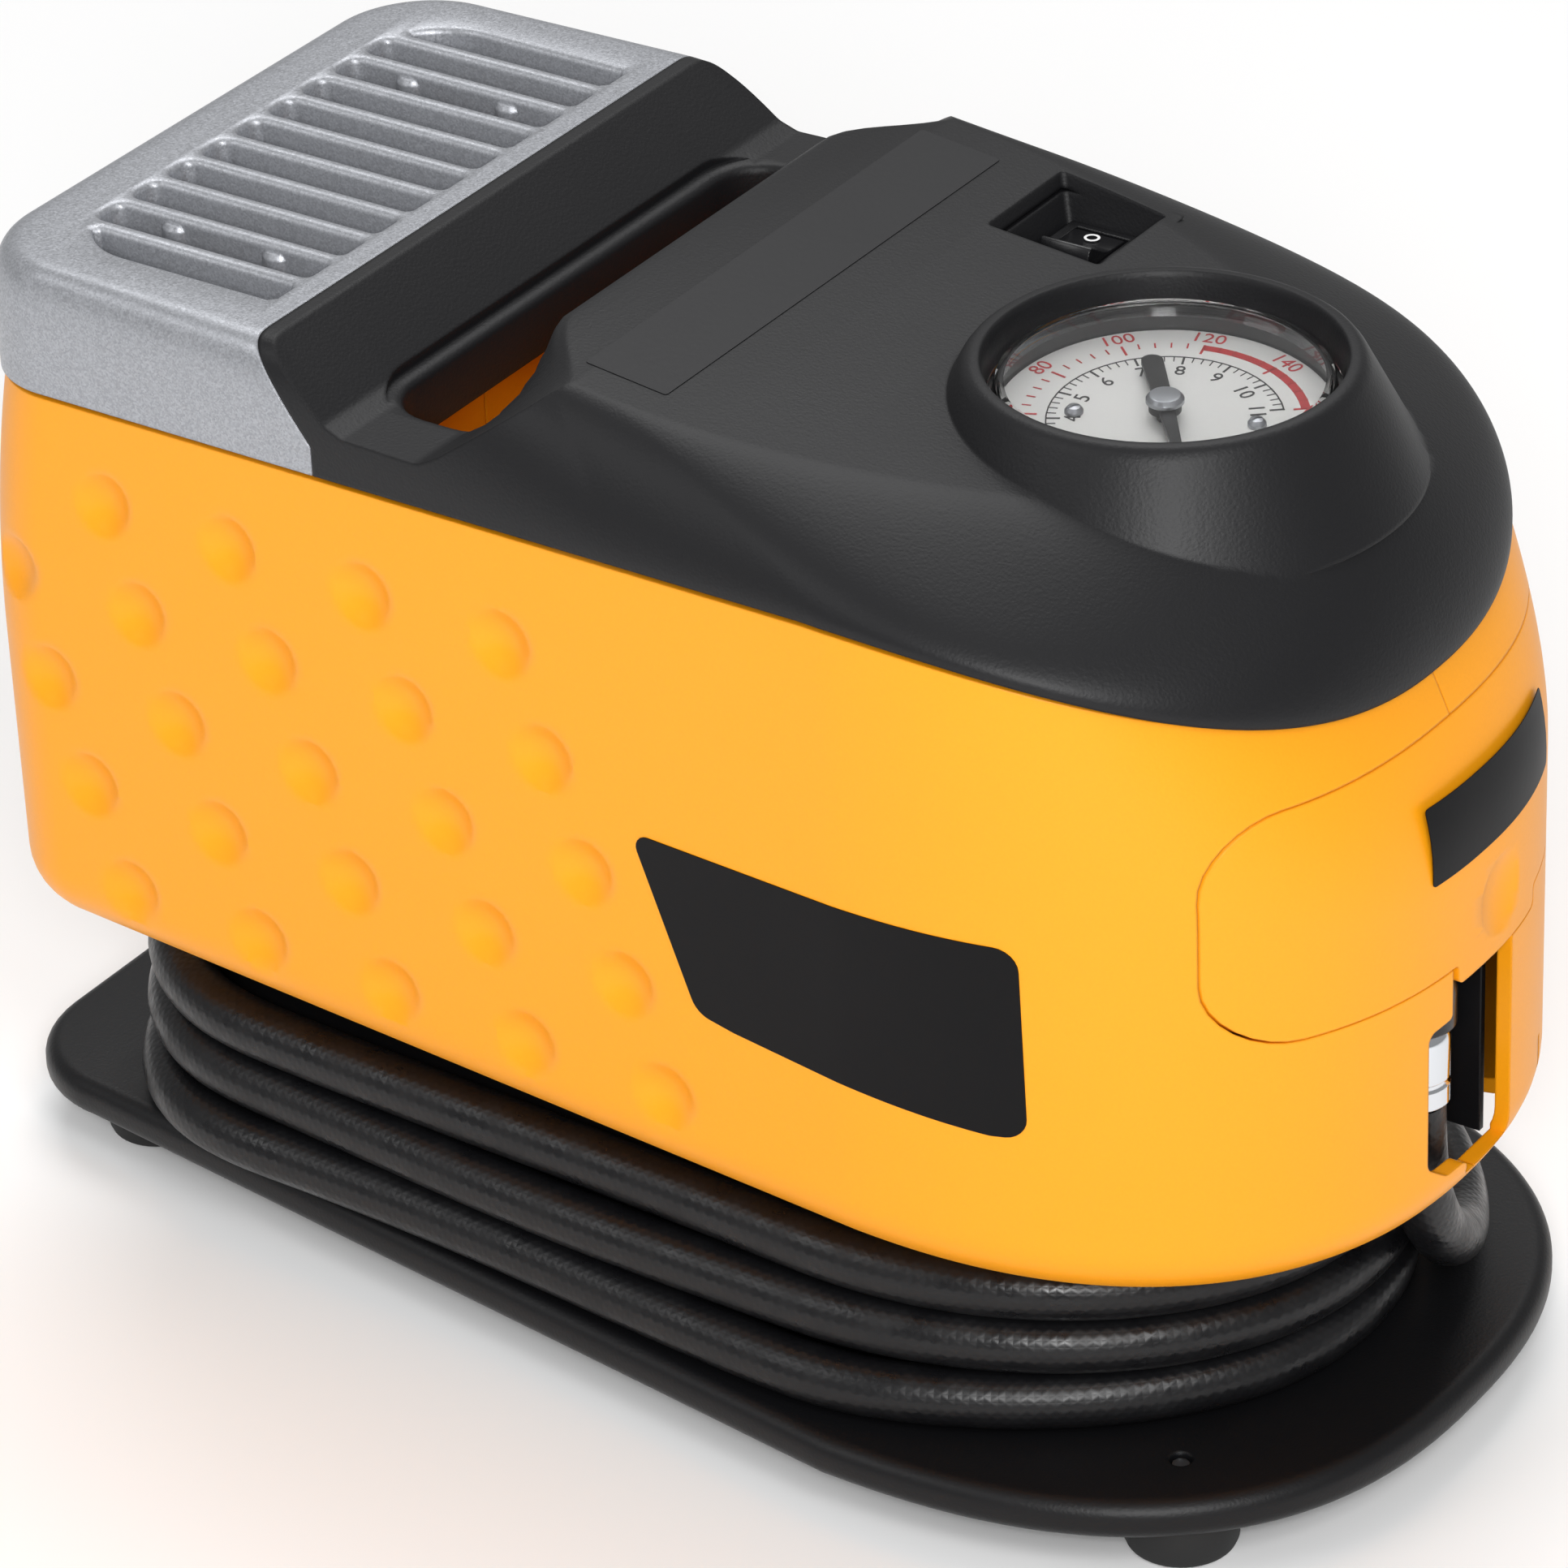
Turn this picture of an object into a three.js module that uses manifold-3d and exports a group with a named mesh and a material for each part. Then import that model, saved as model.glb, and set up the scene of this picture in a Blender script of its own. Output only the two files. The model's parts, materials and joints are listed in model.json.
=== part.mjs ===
// Portable tire inflator: a mains air compressor on a base plate, with its air hose wound under the body.
// Millimetres. +X points to the nose, +Y to the left side, +Z up. The origin is the centre of the
// footprint, on the surface that the feet stand on.

import * as THREE from "three";
import { mergeVertices } from "three/addons/utils/BufferGeometryUtils.js";
import Module from "manifold-3d";

const wasm = await Module();
wasm.setup();

// ---------------------------------------------------------------- driving dimensions
const GAP = 0.3; // clearance kept between pieces that touch
const WALL = 3; // moulded wall
const LENGTH = 301; // over the base plate
const BIG = 500; // half-space boxes used for cuts

// Plan outlines: a flat back with round corners, straight sides, and a nose drawn by a power curve.
const BODY = { back: -136.5, tip: 150, corner: 20, side: 72.5, slope: 0.047, nose: 64.5, power: 2.25 };
const PANEL = { back: -121, tip: 122, corner: 14, side: 62, slope: -0.01, nose: 10, power: 1.7 };
const PLATE_END = LENGTH / 2;
const PLATE = { back: -PLATE_END, tip: PLATE_END, corner: 24, side: 72, slope: 0.128, nose: 60, power: 2.45 };
const COIL = { back: -127, tip: 125.5, corner: 46, side: 57.5, slope: 0.047, nose: 50, power: 2.1 };

const HOSE_D = 11; // outer diameter of the air hose
const HOSE_PITCH = 11.2; // height of one turn on the next
const TURNS = 3;

// Centreline of the hose before the first turn, and after the last one until it rises to the chuck.
const HOSE_TAIL = [[34.3, 44.5, 25.3], [40, 44.5, 25.2], [47, 44.9, 24.4], [54, 46.2, 23.4]];
const LEAD = [
  [8, 72.5, 45.4], [22, 72.9, 44.2], [38, 73.3, 41], [54, 73.2, 37.2], [70, 71.2, 34.3], [85, 67.3, 33],
  [98, 61.8, 33], [110, 54.6, 33], [120.5, 45.8, 33.2],
];
const LEAD_BEND = 38; // radius of the bend up to the chuck

const DRUM_INSET = HOSE_D / 2 + GAP; // from the hose's centreline to the drum's wall
const HOSE_GLAND = { x0: 16, x1: 34, y: 44.5, z: 25.3, radius: 7.4 };

const PLATE_BOTTOM = 9;
const PLATE_TOP = 17;
const FOOT = { radius: 10.5, height: 8.7 };
const FEET = [[118, 50], [118, -50], [-124, 38], [-124, -38]];
const COIL_BOTTOM = PLATE_TOP + GAP;
const COIL_TOP = COIL_BOTTOM + TURNS * HOSE_PITCH;

const BODY_CURL = 12; // radius of the body's underside edge
const NOSE_LEAN = { inset: 12, from: 130, over: 33 };
const BACK_LEAN = { inset: 7, from: 120, over: 58 };
const COVER_LIP = 0.8; // the covers stand this far proud of the body
const SHOULDER_GAP = 1.4; // parting line between the body and the covers

// The top panel is a plane that falls towards the nose.
const PANEL_Z = 206.6;
const PANEL_X = 10.4;
const PANEL_FALL = 0.118;
const GRILLE_TOP = 203.2;

// Seam between the vent grille and the top cover, as x and z down the side.
const SEAM = [[-60.2, 203.2], [-46.1, 186.4], [-46.1, 150]];

// Trough behind the handle bar, as x and z, and the hand hole through it.
const TROUGH = [
  [-58.2, 202.6], [-43, 191.5], [-40, 190], [-22, 190], [-17.5, 192.5], [-13, 203], [-10, 213], [-58.2, 213],
];
const HAND_HOLE = { x0: -41, x1: -15, halfY: 57, radius: 10 };
const POCKET = { x0: -62, x1: -9, halfY: 60, floor: 149, wall: 2.5, top: 175 };

const VENT = { slots: 11, pitch: 10.6, width: 7.2, x1: -66, depth: 15, inset: 5.5 };

const GAUGE = { x: 86, rim: 207.4, rimR: 33.6, baseR: 43.5, bore: 31.4, case: 31, dialZ: 195.5, floor: 176 };
const NEEDLE_ZERO = -50; // degrees from +X, where the thin end points at rest

const SWITCH = {
  x: 41, y: 44.5, open: [25, 26], floor: [18, 20], depth: 8, body: [16, 19], paddle: [10.5, 14.5],
};

const DOOR = { z0: 108.5, z1: 152.5, halfY: 56, corner: 14, tab: [-8, 22], tabZ: 104.3, pocketX: 104 };
const SLOT = { y0: -16.5, y1: 11.5, z0: 66, z1: 104.3, depthX: 118 };
const CHUCK = { x: 137.4, y: -1, z0: 73, sleeve: 16, radius: 6.2 };

const CORD = { y: 30, z: 88, neck: 5.2, flange: 7.5 }; // gland of the mains cord, in the back wall

// Motor, gears and crank. The gear's module is 4/3.
const MOTOR = { y: -18, z: 98, radius: 29, x0: -90, x1: -10.3, shaft: 3 };
const FRAME_X = [-10, -5];
const GEAR = { teeth: 36, pinionTeeth: 9, module: 4 / 3, x0: 0, x1: 8, y: 12, shaft: 4, bearing: 8 };
const CRANK = { radius: 10, pin: 3, end: 11.6 };
const ROD = { x0: 12, x1: 20, length: 52 };
const CYL = { x: 16, bore: 14, outer: 18, z0: 130.3, z1: 172, head: 180 };
const HEAD_BOLTS = [[13.5, 13.5], [-13.5, 13.5], [13.5, -13.5], [-13.5, -13.5]]; // from the bore's axis

// Three-way block in front of the cylinder: air from the head, up to the gauge and down to the hose.
const MANIFOLD = { x: 58, y: 12, z: 160 };
const HEAD_TUBE = [[34.3, 12, 178.5], [42, 12, 178.5], [52, 12, 177], [58, 12, 171], [58, 12, 167.3]];
const GAUGE_TUBE = [[65.3, 12, 160], [74, 11, 160], [82, 5, 160], [86, 0, 162], [86, 0, 163.6]];
const SUPPLY_TUBE = [
  [58, 12, 147.6], [58, 12, 140], [57, 20, 118], [50, 36, 96], [30, 48, 84], [0, 53, 78],
  [-40, 46, 76], [-58, 24, 73], [-60, 8, 69], [-60, 0, 65], [-60, 0, 57], [-60, 0, 46],
];

const COLOURS = {
  yellow: [0xf9a81f, 0.45, 0], silver: [0xa9adb2, 0.4, 0.3], black: [0x1c1c1e, 0.55, 0],
  rubber: [0x161617, 0.75, 0], steel: [0xa8abb0, 0.35, 1], chrome: [0xd5d8dc, 0.15, 1],
  brass: [0xb8944a, 0.35, 1], alloy: [0x9a9da1, 0.45, 1], white: [0xf4f4f0, 0.5, 0],
  clear: [0xe8eef2, 0.1, 0], nylon: [0xd9d5c8, 0.5, 0], copper: [0xb0673c, 0.4, 1],
};

// ---------------------------------------------------------------- solids
function solid(geometry) {
  const bare = geometry.clone();
  bare.deleteAttribute("normal");
  bare.deleteAttribute("uv");
  const merged = mergeVertices(bare, 1e-3);
  const vertProperties = new Float32Array(merged.attributes.position.array);
  const triVerts = new Uint32Array(merged.index.array);
  return new wasm.Manifold(new wasm.Mesh({ numProp: 3, vertProperties, triVerts }));
}

function toGeometry(body) {
  const mesh = body.getMesh();
  const geometry = new THREE.BufferGeometry();
  const positions = new Float32Array(mesh.numVert * 3);
  for (let v = 0; v < mesh.numVert; v += 1) {
    for (let k = 0; k < 3; k += 1) positions[3 * v + k] = mesh.vertProperties[mesh.numProp * v + k];
  }
  geometry.setAttribute("position", new THREE.BufferAttribute(positions, 3));
  geometry.setIndex(new THREE.BufferAttribute(new Uint32Array(mesh.triVerts), 1));
  geometry.computeVertexNormals();
  return geometry;
}

function box(x0, x1, y0, y1, z0, z1) {
  const geometry = new THREE.BoxGeometry(x1 - x0, y1 - y0, z1 - z0);
  return solid(geometry.translate((x0 + x1) / 2, (y0 + y1) / 2, (z0 + z1) / 2));
}

// A cylinder or cone from z0 to z1 about a vertical axis.
function post(x, y, z0, z1, r0, r1 = r0, segments = 24) {
  const geometry = new THREE.CylinderGeometry(r1, r0, z1 - z0, segments);
  return solid(geometry.rotateX(Math.PI / 2).translate(x, y, (z0 + z1) / 2));
}

// A cylinder from x0 to x1 about an axis along X.
function rod(x0, x1, y, z, r0, r1 = r0, segments = 24) {
  const geometry = new THREE.CylinderGeometry(r1, r0, x1 - x0, segments);
  return solid(geometry.rotateZ(-Math.PI / 2).translate((x0 + x1) / 2, y, z));
}

// A turned piece: radius and height pairs about a vertical axis.
function turned(x, y, profile, segments = 24) {
  const points = profile.map(([r, z]) => new THREE.Vector2(r, z));
  const geometry = new THREE.LatheGeometry(points, segments);
  return solid(geometry.rotateX(Math.PI / 2).translate(x, y, 0));
}

function extruded(shape, depth, curveSegments = 8) {
  return new THREE.ExtrudeGeometry(shape, { depth, bevelEnabled: false, curveSegments });
}

// A flat outline in x and z, carried from y0 to y1.
function acrossY(points, y0, y1) {
  const shape = new THREE.Shape(points.map(([x, z]) => new THREE.Vector2(x, z)));
  return solid(extruded(shape, y1 - y0).rotateX(Math.PI / 2).translate(0, y1, 0));
}

function roundedRectangle(x0, x1, y0, y1, r) {
  const shape = new THREE.Shape();
  shape.moveTo(x0 + r, y0);
  shape.lineTo(x1 - r, y0);
  shape.absarc(x1 - r, y0 + r, r, -Math.PI / 2, 0);
  shape.lineTo(x1, y1 - r);
  shape.absarc(x1 - r, y1 - r, r, 0, Math.PI / 2);
  shape.lineTo(x0 + r, y1);
  shape.absarc(x0 + r, y1 - r, r, Math.PI / 2, Math.PI);
  shape.lineTo(x0, y0 + r);
  shape.absarc(x0 + r, y0 + r, r, Math.PI, Math.PI * 1.5);
  return shape;
}

function tube(points, radius, steps, sides = 10) {
  const section = new THREE.Shape();
  section.absarc(0, 0, radius, 0, Math.PI * 2);
  const curve = new THREE.CatmullRomCurve3(points.map((p) => new THREE.Vector3(...p)));
  const options = { steps, extrudePath: curve, bevelEnabled: false, curveSegments: sides / 2 };
  return new THREE.ExtrudeGeometry(section, options);
}

// ---------------------------------------------------------------- plan outlines and moulded forms
const CORNER_STEPS = 4;
const STATIONS = [-61, -52, -14]; // ends of the handle trough, where every outline has a point
const NOSE_STEPS = 11;

// The right-hand half of an outline from the back centre to the nose, then its mirror image.
function outline(plan, inset = 0, backInset = inset, tipInset = inset) {
  const back = plan.back + backInset;
  const tip = plan.tip - tipInset;
  const half = (x) => plan.side + plan.slope * x - inset;
  const r = Math.max(plan.corner - inset, 2);
  const right = [];
  for (let i = 0; i <= CORNER_STEPS; i += 1) {
    const a = (i / CORNER_STEPS) * Math.PI / 2;
    right.push([back + r - r * Math.cos(a), -(half(back + r) - r + r * Math.sin(a))]);
  }
  for (const x of STATIONS) right.push([x, -half(x)]);
  for (let i = 0; i < NOSE_STEPS; i += 1) {
    const a = Math.PI / 2 * (1 - i / NOSE_STEPS);
    const x = plan.nose + (tip - plan.nose) * Math.cos(a) ** (2 / plan.power);
    right.push([x, -half(plan.nose) * Math.sin(a) ** (2 / plan.power)]);
  }
  const left = right.map(([x, y]) => [x, -y]).reverse();
  return [[back, 0], ...right, [tip, 0], ...left];
}

const RING = outline(BODY).length;

// A closed form from rings of points: ring(j) gives RING points as [x, y, z], from the bottom up.
function formed(levels, ring) {
  const geometry = new THREE.CylinderGeometry(1, 1, 1, RING, levels);
  const position = geometry.attributes.position;
  const rings = Array.from({ length: levels + 1 }, (_, j) => ring(j));
  for (let v = 0; v < position.count; v += 1) {
    const j = Math.round((position.getY(v) + 0.5) * levels);
    const x = position.getX(v);
    const z = position.getZ(v);
    if (Math.hypot(x, z) < 0.5) {
      const middle = rings[j][0].map((_, k) => rings[j].reduce((sum, p) => sum + p[k], 0) / RING);
      position.setXYZ(v, middle[0], 0, middle[2]);
    } else {
      const i = Math.round(Math.atan2(x, z) / (Math.PI * 2) * RING + RING) % RING;
      position.setXYZ(v, ...rings[j][i]);
    }
  }
  return solid(geometry);
}

function prism(plan, inset, z0, z1) {
  return formed(1, (j) => outline(plan, inset).map(([x, y]) => [x, y, j ? z1 : z0]));
}

const underside = (x) => 58.5 - 0.024 * x;
const panelZ = (x) => PANEL_Z - PANEL_FALL * (x - PANEL_X);

// Height of the line where the body meets the covers: it rises gently, then dips round the nose.
function shoulderZ(x) {
  const rise = 179.5 + 0.035 * (Math.min(x, 60) + 45);
  return x > 60 ? rise - 21 * ((x - 60) / 78) ** 2.2 : rise;
}

const leanAt = (lean, z) => lean.inset * (Math.max(0, z - lean.from) / lean.over) ** 2;

// The body's outer surface, or with an inset its inner one. extra lengthens it upwards.
function bodyForm(inset, extra = 0) {
  const curl = [0, 0.3, 0.6, 1];
  const rise = [0.25, 0.45, 0.62, 0.8, 0.9, 1];
  const levels = curl.length + rise.length - 1;
  return formed(levels, (j) => {
    const turn = curl[Math.min(j, curl.length - 1)] * Math.PI / 2;
    const radius = BODY_CURL - inset;
    const tuck = j < curl.length ? radius * (1 - Math.sin(turn)) : 0;
    const lift = radius * (1 - Math.cos(turn));
    const s = j < curl.length ? 0 : rise[j - curl.length];
    const height = (x) => {
      const low = underside(x) + inset + lift;
      return THREE.MathUtils.lerp(low, shoulderZ(x) + extra, s);
    };
    const back = leanAt(BACK_LEAN, height(BODY.back));
    const tip = leanAt(NOSE_LEAN, height(BODY.tip - NOSE_LEAN.inset));
    const plan = outline(BODY, inset + tuck, inset + tuck + back, inset + tuck + tip);
    return plan.map(([x, y]) => [x, y, height(x)]);
  });
}

// The covers' outer surface from the shoulder line up to the flat panel, or inset its inner one.
function coverForm(inset, bottomExtra) {
  const arc = [0, 0.18, 0.36, 0.54, 0.72, 0.88, 1];
  const edgeZ = shoulderZ(BODY.tip - NOSE_LEAN.inset);
  const tip = leanAt(NOSE_LEAN, edgeZ);
  const back = leanAt(BACK_LEAN, shoulderZ(BODY.back));
  const outer = outline(BODY, inset - COVER_LIP, back + inset - COVER_LIP, tip + inset - COVER_LIP - 1.5);
  const inner = outline(PANEL, inset);
  return formed(arc.length, (j) => outer.map(([x, y], i) => {
    const low = shoulderZ(x) + SHOULDER_GAP;
    if (j === 0) return [x, y, low - bottomExtra];
    const a = arc[j - 1] * Math.PI / 2;
    const blend = THREE.MathUtils.clamp((x + 60) / 80, 0, 1);
    const power = THREE.MathUtils.lerp(0.45, 1.3, blend);
    const s = 1 - Math.cos(a) ** power;
    const u = THREE.MathUtils.lerp(x, inner[i][0], s);
    const w = THREE.MathUtils.lerp(y, inner[i][1], s);
    const top = (x < STATIONS[2] - 1 ? GRILLE_TOP : panelZ(u)) - inset;
    return [u, w, THREE.MathUtils.lerp(low + 1.2, top, Math.sin(a) ** power)];
  }));
}

const bodyOuter = bodyForm(0);
const bodyInner = bodyForm(WALL, 12);

// The region in front of the seam between grille and cover, moved by an offset along X.
function aheadOfSeam(offset) {
  const edge = SEAM.map(([x, z]) => [x + offset, z]);
  const lean = (SEAM[0][0] - SEAM[1][0]) / (SEAM[0][1] - SEAM[1][1]);
  const high = [SEAM[0][0] + offset + lean * 20, SEAM[0][1] + 20];
  return acrossY([high, ...edge, [BIG, SEAM[2][1]], [BIG, high[1]]], -BIG, BIG);
}

// ---------------------------------------------------------------- body and covers
function doorRegion(grow) {
  const shape = new THREE.Shape();
  const { z0, z1, halfY, corner, tab, tabZ } = DOOR;
  const r = corner + grow;
  shape.moveTo(-halfY - grow, z0 + corner);
  shape.absarc(-halfY + corner, z0 + corner, r, Math.PI, Math.PI * 1.5);
  shape.lineTo(tab[0] - grow, z0 - grow);
  shape.lineTo(tab[0] - grow, tabZ - grow);
  shape.lineTo(tab[1] + grow, tabZ - grow);
  shape.lineTo(tab[1] + grow, z0 - grow);
  shape.lineTo(halfY - corner, z0 - grow);
  shape.absarc(halfY - corner, z0 + corner, r, -Math.PI / 2, 0);
  shape.lineTo(halfY + grow, z1 - corner);
  shape.absarc(halfY - corner, z1 - corner, r, 0, Math.PI / 2);
  shape.lineTo(-halfY + corner, z1 + grow);
  shape.absarc(-halfY + corner, z1 - corner, r, Math.PI / 2, Math.PI);
  const geometry = extruded(shape, 100, 4);
  geometry.rotateX(Math.PI / 2).rotateZ(Math.PI / 2);
  return solid(geometry.translate(DOOR.pocketX, 0, 0));
}

function chuckSlot() {
  const { y0, y1, z0, z1 } = SLOT;
  const points = [[y0, z0 + 4], [y0, z1 - 7], [y0 + 6, z1], [y1, z1], [y1, z0 + 8], [y1 - 7, z0], [y0 + 5, z0]];
  const shape = new THREE.Shape(points.map(([y, z]) => new THREE.Vector2(y, z)));
  const geometry = extruded(shape, 60).rotateX(Math.PI / 2).rotateZ(Math.PI / 2);
  return solid(geometry.translate(SLOT.depthX, 0, 0));
}

// Opening in the body's floor, where the hose comes down from the chuck.
const floorPassage = () => box(124, 145.5, -11, 30, 40, 72);

function bodyShell() {
  const { x0, x1, halfY, floor, wall, top } = POCKET;
  const pocketBox = box(x0 - wall, x1 + wall, -halfY - wall, halfY + wall, floor - wall, top);
  const pocketRoom = box(x0, x1, -halfY, halfY, floor, 230);
  let shell = bodyOuter.subtract(bodyInner);
  const deck = box(x0 - wall, x1 + wall, -BIG, BIG, top - wall, top).intersect(bodyForm(WALL - 1, 12));
  shell = shell.add(pocketBox).add(deck).subtract(pocketRoom).subtract(post(-60, 0, 50, 70, 4.5, 4.5, 12));
  return shell.subtract(doorRegion(GAP)).subtract(chuckSlot()).subtract(floorPassage()).subtract(cordHole());
}

const shell = bodyShell();
const bodyHalf = (side) => shell.intersect(side > 0
  ? box(-BIG, BIG, GAP / 2, BIG, -BIG, BIG)
  : box(-BIG, BIG, -BIG, -GAP / 2, -BIG, BIG));

// The cover over the nozzle store, with a shallow finger dimple above its tab.
function accessoryCover() {
  const skin = bodyOuter.subtract(bodyForm(WALL - 0.4, 12));
  const dimple = new THREE.SphereGeometry(16, 20, 14).translate(BODY.tip + 13, 7.5, 115.5);
  return skin.intersect(doorRegion(0)).subtract(solid(dimple));
}

function handleCuts() {
  const { x0, x1, halfY, radius } = HAND_HOLE;
  const hole = extruded(roundedRectangle(x0, x1, -halfY, halfY, radius), 80, 5).translate(0, 0, 150);
  return acrossY(TROUGH, -BIG, BIG).add(solid(hole));
}

function topCover() {
  const { x, rim, rimR, baseR, bore } = GAUGE;
  let cover = coverForm(0, 0).intersect(aheadOfSeam(GAP / 2));
  const low = panelZ(x + baseR) - 2.8;
  cover = cover.add(turned(x, 0, [[0, low], [baseR, low], [rimR + 1.2, rim - 1.5], [rimR, rim], [0, rim]], 30));
  const room = coverForm(2.6, 30).intersect(aheadOfSeam(GAP / 2 + 2.6));
  const underTrough = TROUGH.map(([u, w]) => [u, w - 3]);
  cover = cover.subtract(room.subtract(acrossY(underTrough, -BIG, BIG)));
  const lipRoom = roundedRectangle(HAND_HOLE.x0 - 2.6, HAND_HOLE.x1 + 2.6, -59.6, 59.6, 11);
  cover = cover.add(solid(extruded(lipRoom, 12, 5).translate(0, 0, 178.6)));
  cover = cover.subtract(handleCuts());
  cover = cover.subtract(post(x, 0, 150, 230, bore, bore, 30));
  return cover.subtract(switchRecess()).subtract(box(-BIG, BIG, -BIG, BIG, 100, 161));
}

function switchFrustum(open, floor, depth, extra) {
  const geometry = new THREE.BoxGeometry(1, 1, 1);
  const position = geometry.attributes.position;
  const top = panelZ(SWITCH.x) + extra;
  for (let v = 0; v < position.count; v += 1) {
    const size = position.getZ(v) > 0 ? open : floor;
    const z = position.getZ(v) > 0 ? top : top - extra - depth;
    position.setXYZ(v, SWITCH.x + position.getX(v) * size[0], SWITCH.y + position.getY(v) * size[1], z);
  }
  return solid(geometry);
}

const switchRecess = () => switchFrustum(SWITCH.open, SWITCH.floor, SWITCH.depth, 3)
  .add(box(SWITCH.x - 7.4, SWITCH.x + 7.4, SWITCH.y - 8.9, SWITCH.y + 8.9, 150, 205));

function switchPan() {
  const pan = switchFrustum([27, 28], [21, 23], SWITCH.depth + 2.4, -2);
  return pan.subtract(switchRecess());
}

function ventGrille() {
  let grille = coverForm(0, 0).subtract(aheadOfSeam(-GAP / 2));
  const room = coverForm(3, 30).intersect(box(-BIG, BIG, -BIG, BIG, 100, GRILLE_TOP - VENT.depth));
  grille = grille.subtract(room.subtract(aheadOfSeam(-GAP / 2 - 3)));
  const reach = { ...PANEL, tip: 300, nose: 200 };
  const field = prism(reach, VENT.inset, 170, 230).intersect(box(-BIG, VENT.x1, -BIG, BIG, 0, BIG));
  for (let i = 0; i < VENT.slots; i += 1) {
    const y = (i - (VENT.slots - 1) / 2) * VENT.pitch;
    grille = grille.subtract(box(-BIG, BIG, y - VENT.width / 2, y + VENT.width / 2, 0, BIG).intersect(field));
  }
  return grille;
}

// ---------------------------------------------------------------- base, drum and hose
function basePlate() {
  const insets = [2.2, 0.3, 0.3, 2.6];
  const heights = [PLATE_BOTTOM, PLATE_BOTTOM + 2.4, PLATE_TOP - 2.8, PLATE_TOP];
  let plate = formed(3, (j) => {
    const plan = outline(PLATE, insets[j], insets[j] - 0.3, insets[j] - 0.3);
    return plan.map(([x, y]) => [x, y, heights[j]]);
  });
  for (const [x, y] of FEET) plate = plate.subtract(post(x, y, 0, 30, 2.2, 2.2, 10));
  return plate;
}

function foot(x, y) {
  const { radius, height } = FOOT;
  const profile = [
    [0, 0], [radius - 1.5, 0], [radius, 1.6], [radius, height - 1.5], [radius - 0.8, height], [0, height],
  ];
  const headRoom = post(x, y, 2.6, 20, 4.4, 4.4, 12);
  return turned(x, y, profile, 20).subtract(headRoom).subtract(post(x, y, -5, 5, 1.6, 1.6, 10));
}

// Screw up through the plate at a foot, its head inside the foot.
function plateScrew(x, y) {
  return post(x, y, 2.9, 6.2, 3.6, 3.6, 10).add(post(x, y, 6.1, PLATE_TOP - 1, 1.7, 1.7, 8));
}

// Cradle cut in the drum's left side, where the hose comes out of its gland and joins the first turn.
function glandCradle(grow = 0) {
  const { x0, y, z, radius } = HOSE_GLAND;
  return box(x0 - GAP - grow, 78 + grow, y - radius - 1 - grow, 80, PLATE_TOP, z + radius + GAP + grow);
}

function hoseDrum() {
  const top = Math.min(underside(BODY.tip), underside(BODY.back)) - GAP;
  const drum = prism(COIL, DRUM_INSET, PLATE_TOP + GAP, top);
  const room = prism(COIL, DRUM_INSET + WALL, PLATE_TOP - 5, top - WALL);
  const inside = glandCradle(WALL).intersect(prism(COIL, DRUM_INSET + 1, PLATE_TOP + GAP, top - 1));
  const passage = post(-60, 0, 0, 100, 8, 8, 14);
  return drum.subtract(room).add(inside).subtract(glandCradle()).subtract(passage);
}

function hoseCoil() {
  const outside = prism(COIL, -HOSE_D / 2, COIL_BOTTOM, COIL_TOP);
  return outside.subtract(prism(COIL, HOSE_D / 2, 0, 100));
}

function hoseGland() {
  const { x0, x1, y, z, radius } = HOSE_GLAND;
  return rod(x0, x0 + 5, y, z, radius, radius, 16).add(rod(x0 + 4, x1, y, z, radius - 0.6, 6.2, 16));
}

// X of a hose lying against the outside of the coil, round the nose.
function besideCoil(y) {
  const reach = CHUCK.x - COIL.nose;
  const half = COIL.side + COIL.slope * COIL.nose + HOSE_D + 0.4;
  return COIL.nose + reach * (1 - (Math.abs(y) / half) ** COIL.power) ** (1 / COIL.power);
}

// The lead's last bend: from level along the nose to straight up behind the slot.
function leadPoints() {
  const points = LEAD.slice();
  const centreZ = CHUCK.z0 - GAP - 8;
  for (const degrees of [14, 30, 46, 62, 78, 90]) {
    const a = THREE.MathUtils.degToRad(degrees);
    const y = CHUCK.y + LEAD_BEND * (1 - Math.sin(a));
    points.push([besideCoil(y), y, centreZ - LEAD_BEND * Math.cos(a) + 6 * Math.cos(a) ** 2]);
  }
  points.push([CHUCK.x, CHUCK.y, CHUCK.z0 - GAP]);
  return points;
}

// ---------------------------------------------------------------- chuck and stored nozzles
function chuckBody() {
  const { x, y, z0, sleeve, radius } = CHUCK;
  const top = z0 + sleeve;
  const profile = [
    [0, z0], [radius, z0], [radius, top - 2], [radius - 1, top], [4, top], [4, top + 10], [0, top + 10],
  ];
  return turned(x, y, profile, 20);
}

function chuckCollar() {
  const { x, y, z0, sleeve } = CHUCK;
  const low = z0 + sleeve + GAP;
  const profile = [[4.4, low], [7.2, low], [7.2, low + 8], [6.2, low + 10], [4.4, low + 10], [4.4, low]];
  return turned(x, y, profile, 18);
}

function accessoryTray() {
  const room = box(DOOR.pocketX, 140, -37, 37, 111, 149.5);
  const behindCover = room.intersect(bodyForm(WALL + 3.2, 12));
  return behindCover.subtract(box(DOOR.pocketX + 2, 200, -35, 35, 113, 147.5));
}

function storedNozzle(y, profile) {
  return turned(118, y, profile, 14);
}

const BALL_NEEDLE = [[0, 115], [4.5, 115], [4.5, 121], [1.4, 123], [1.1, 143], [0, 143]];
const CONE_NOZZLE = [[0, 115], [5.5, 115], [5.5, 120], [4.6, 122], [2.2, 140], [0, 140]];
const VALVE_ADAPTER = [[0, 115], [5, 115], [5, 124], [3.2, 125.5], [3.2, 134], [0, 134]];

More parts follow.
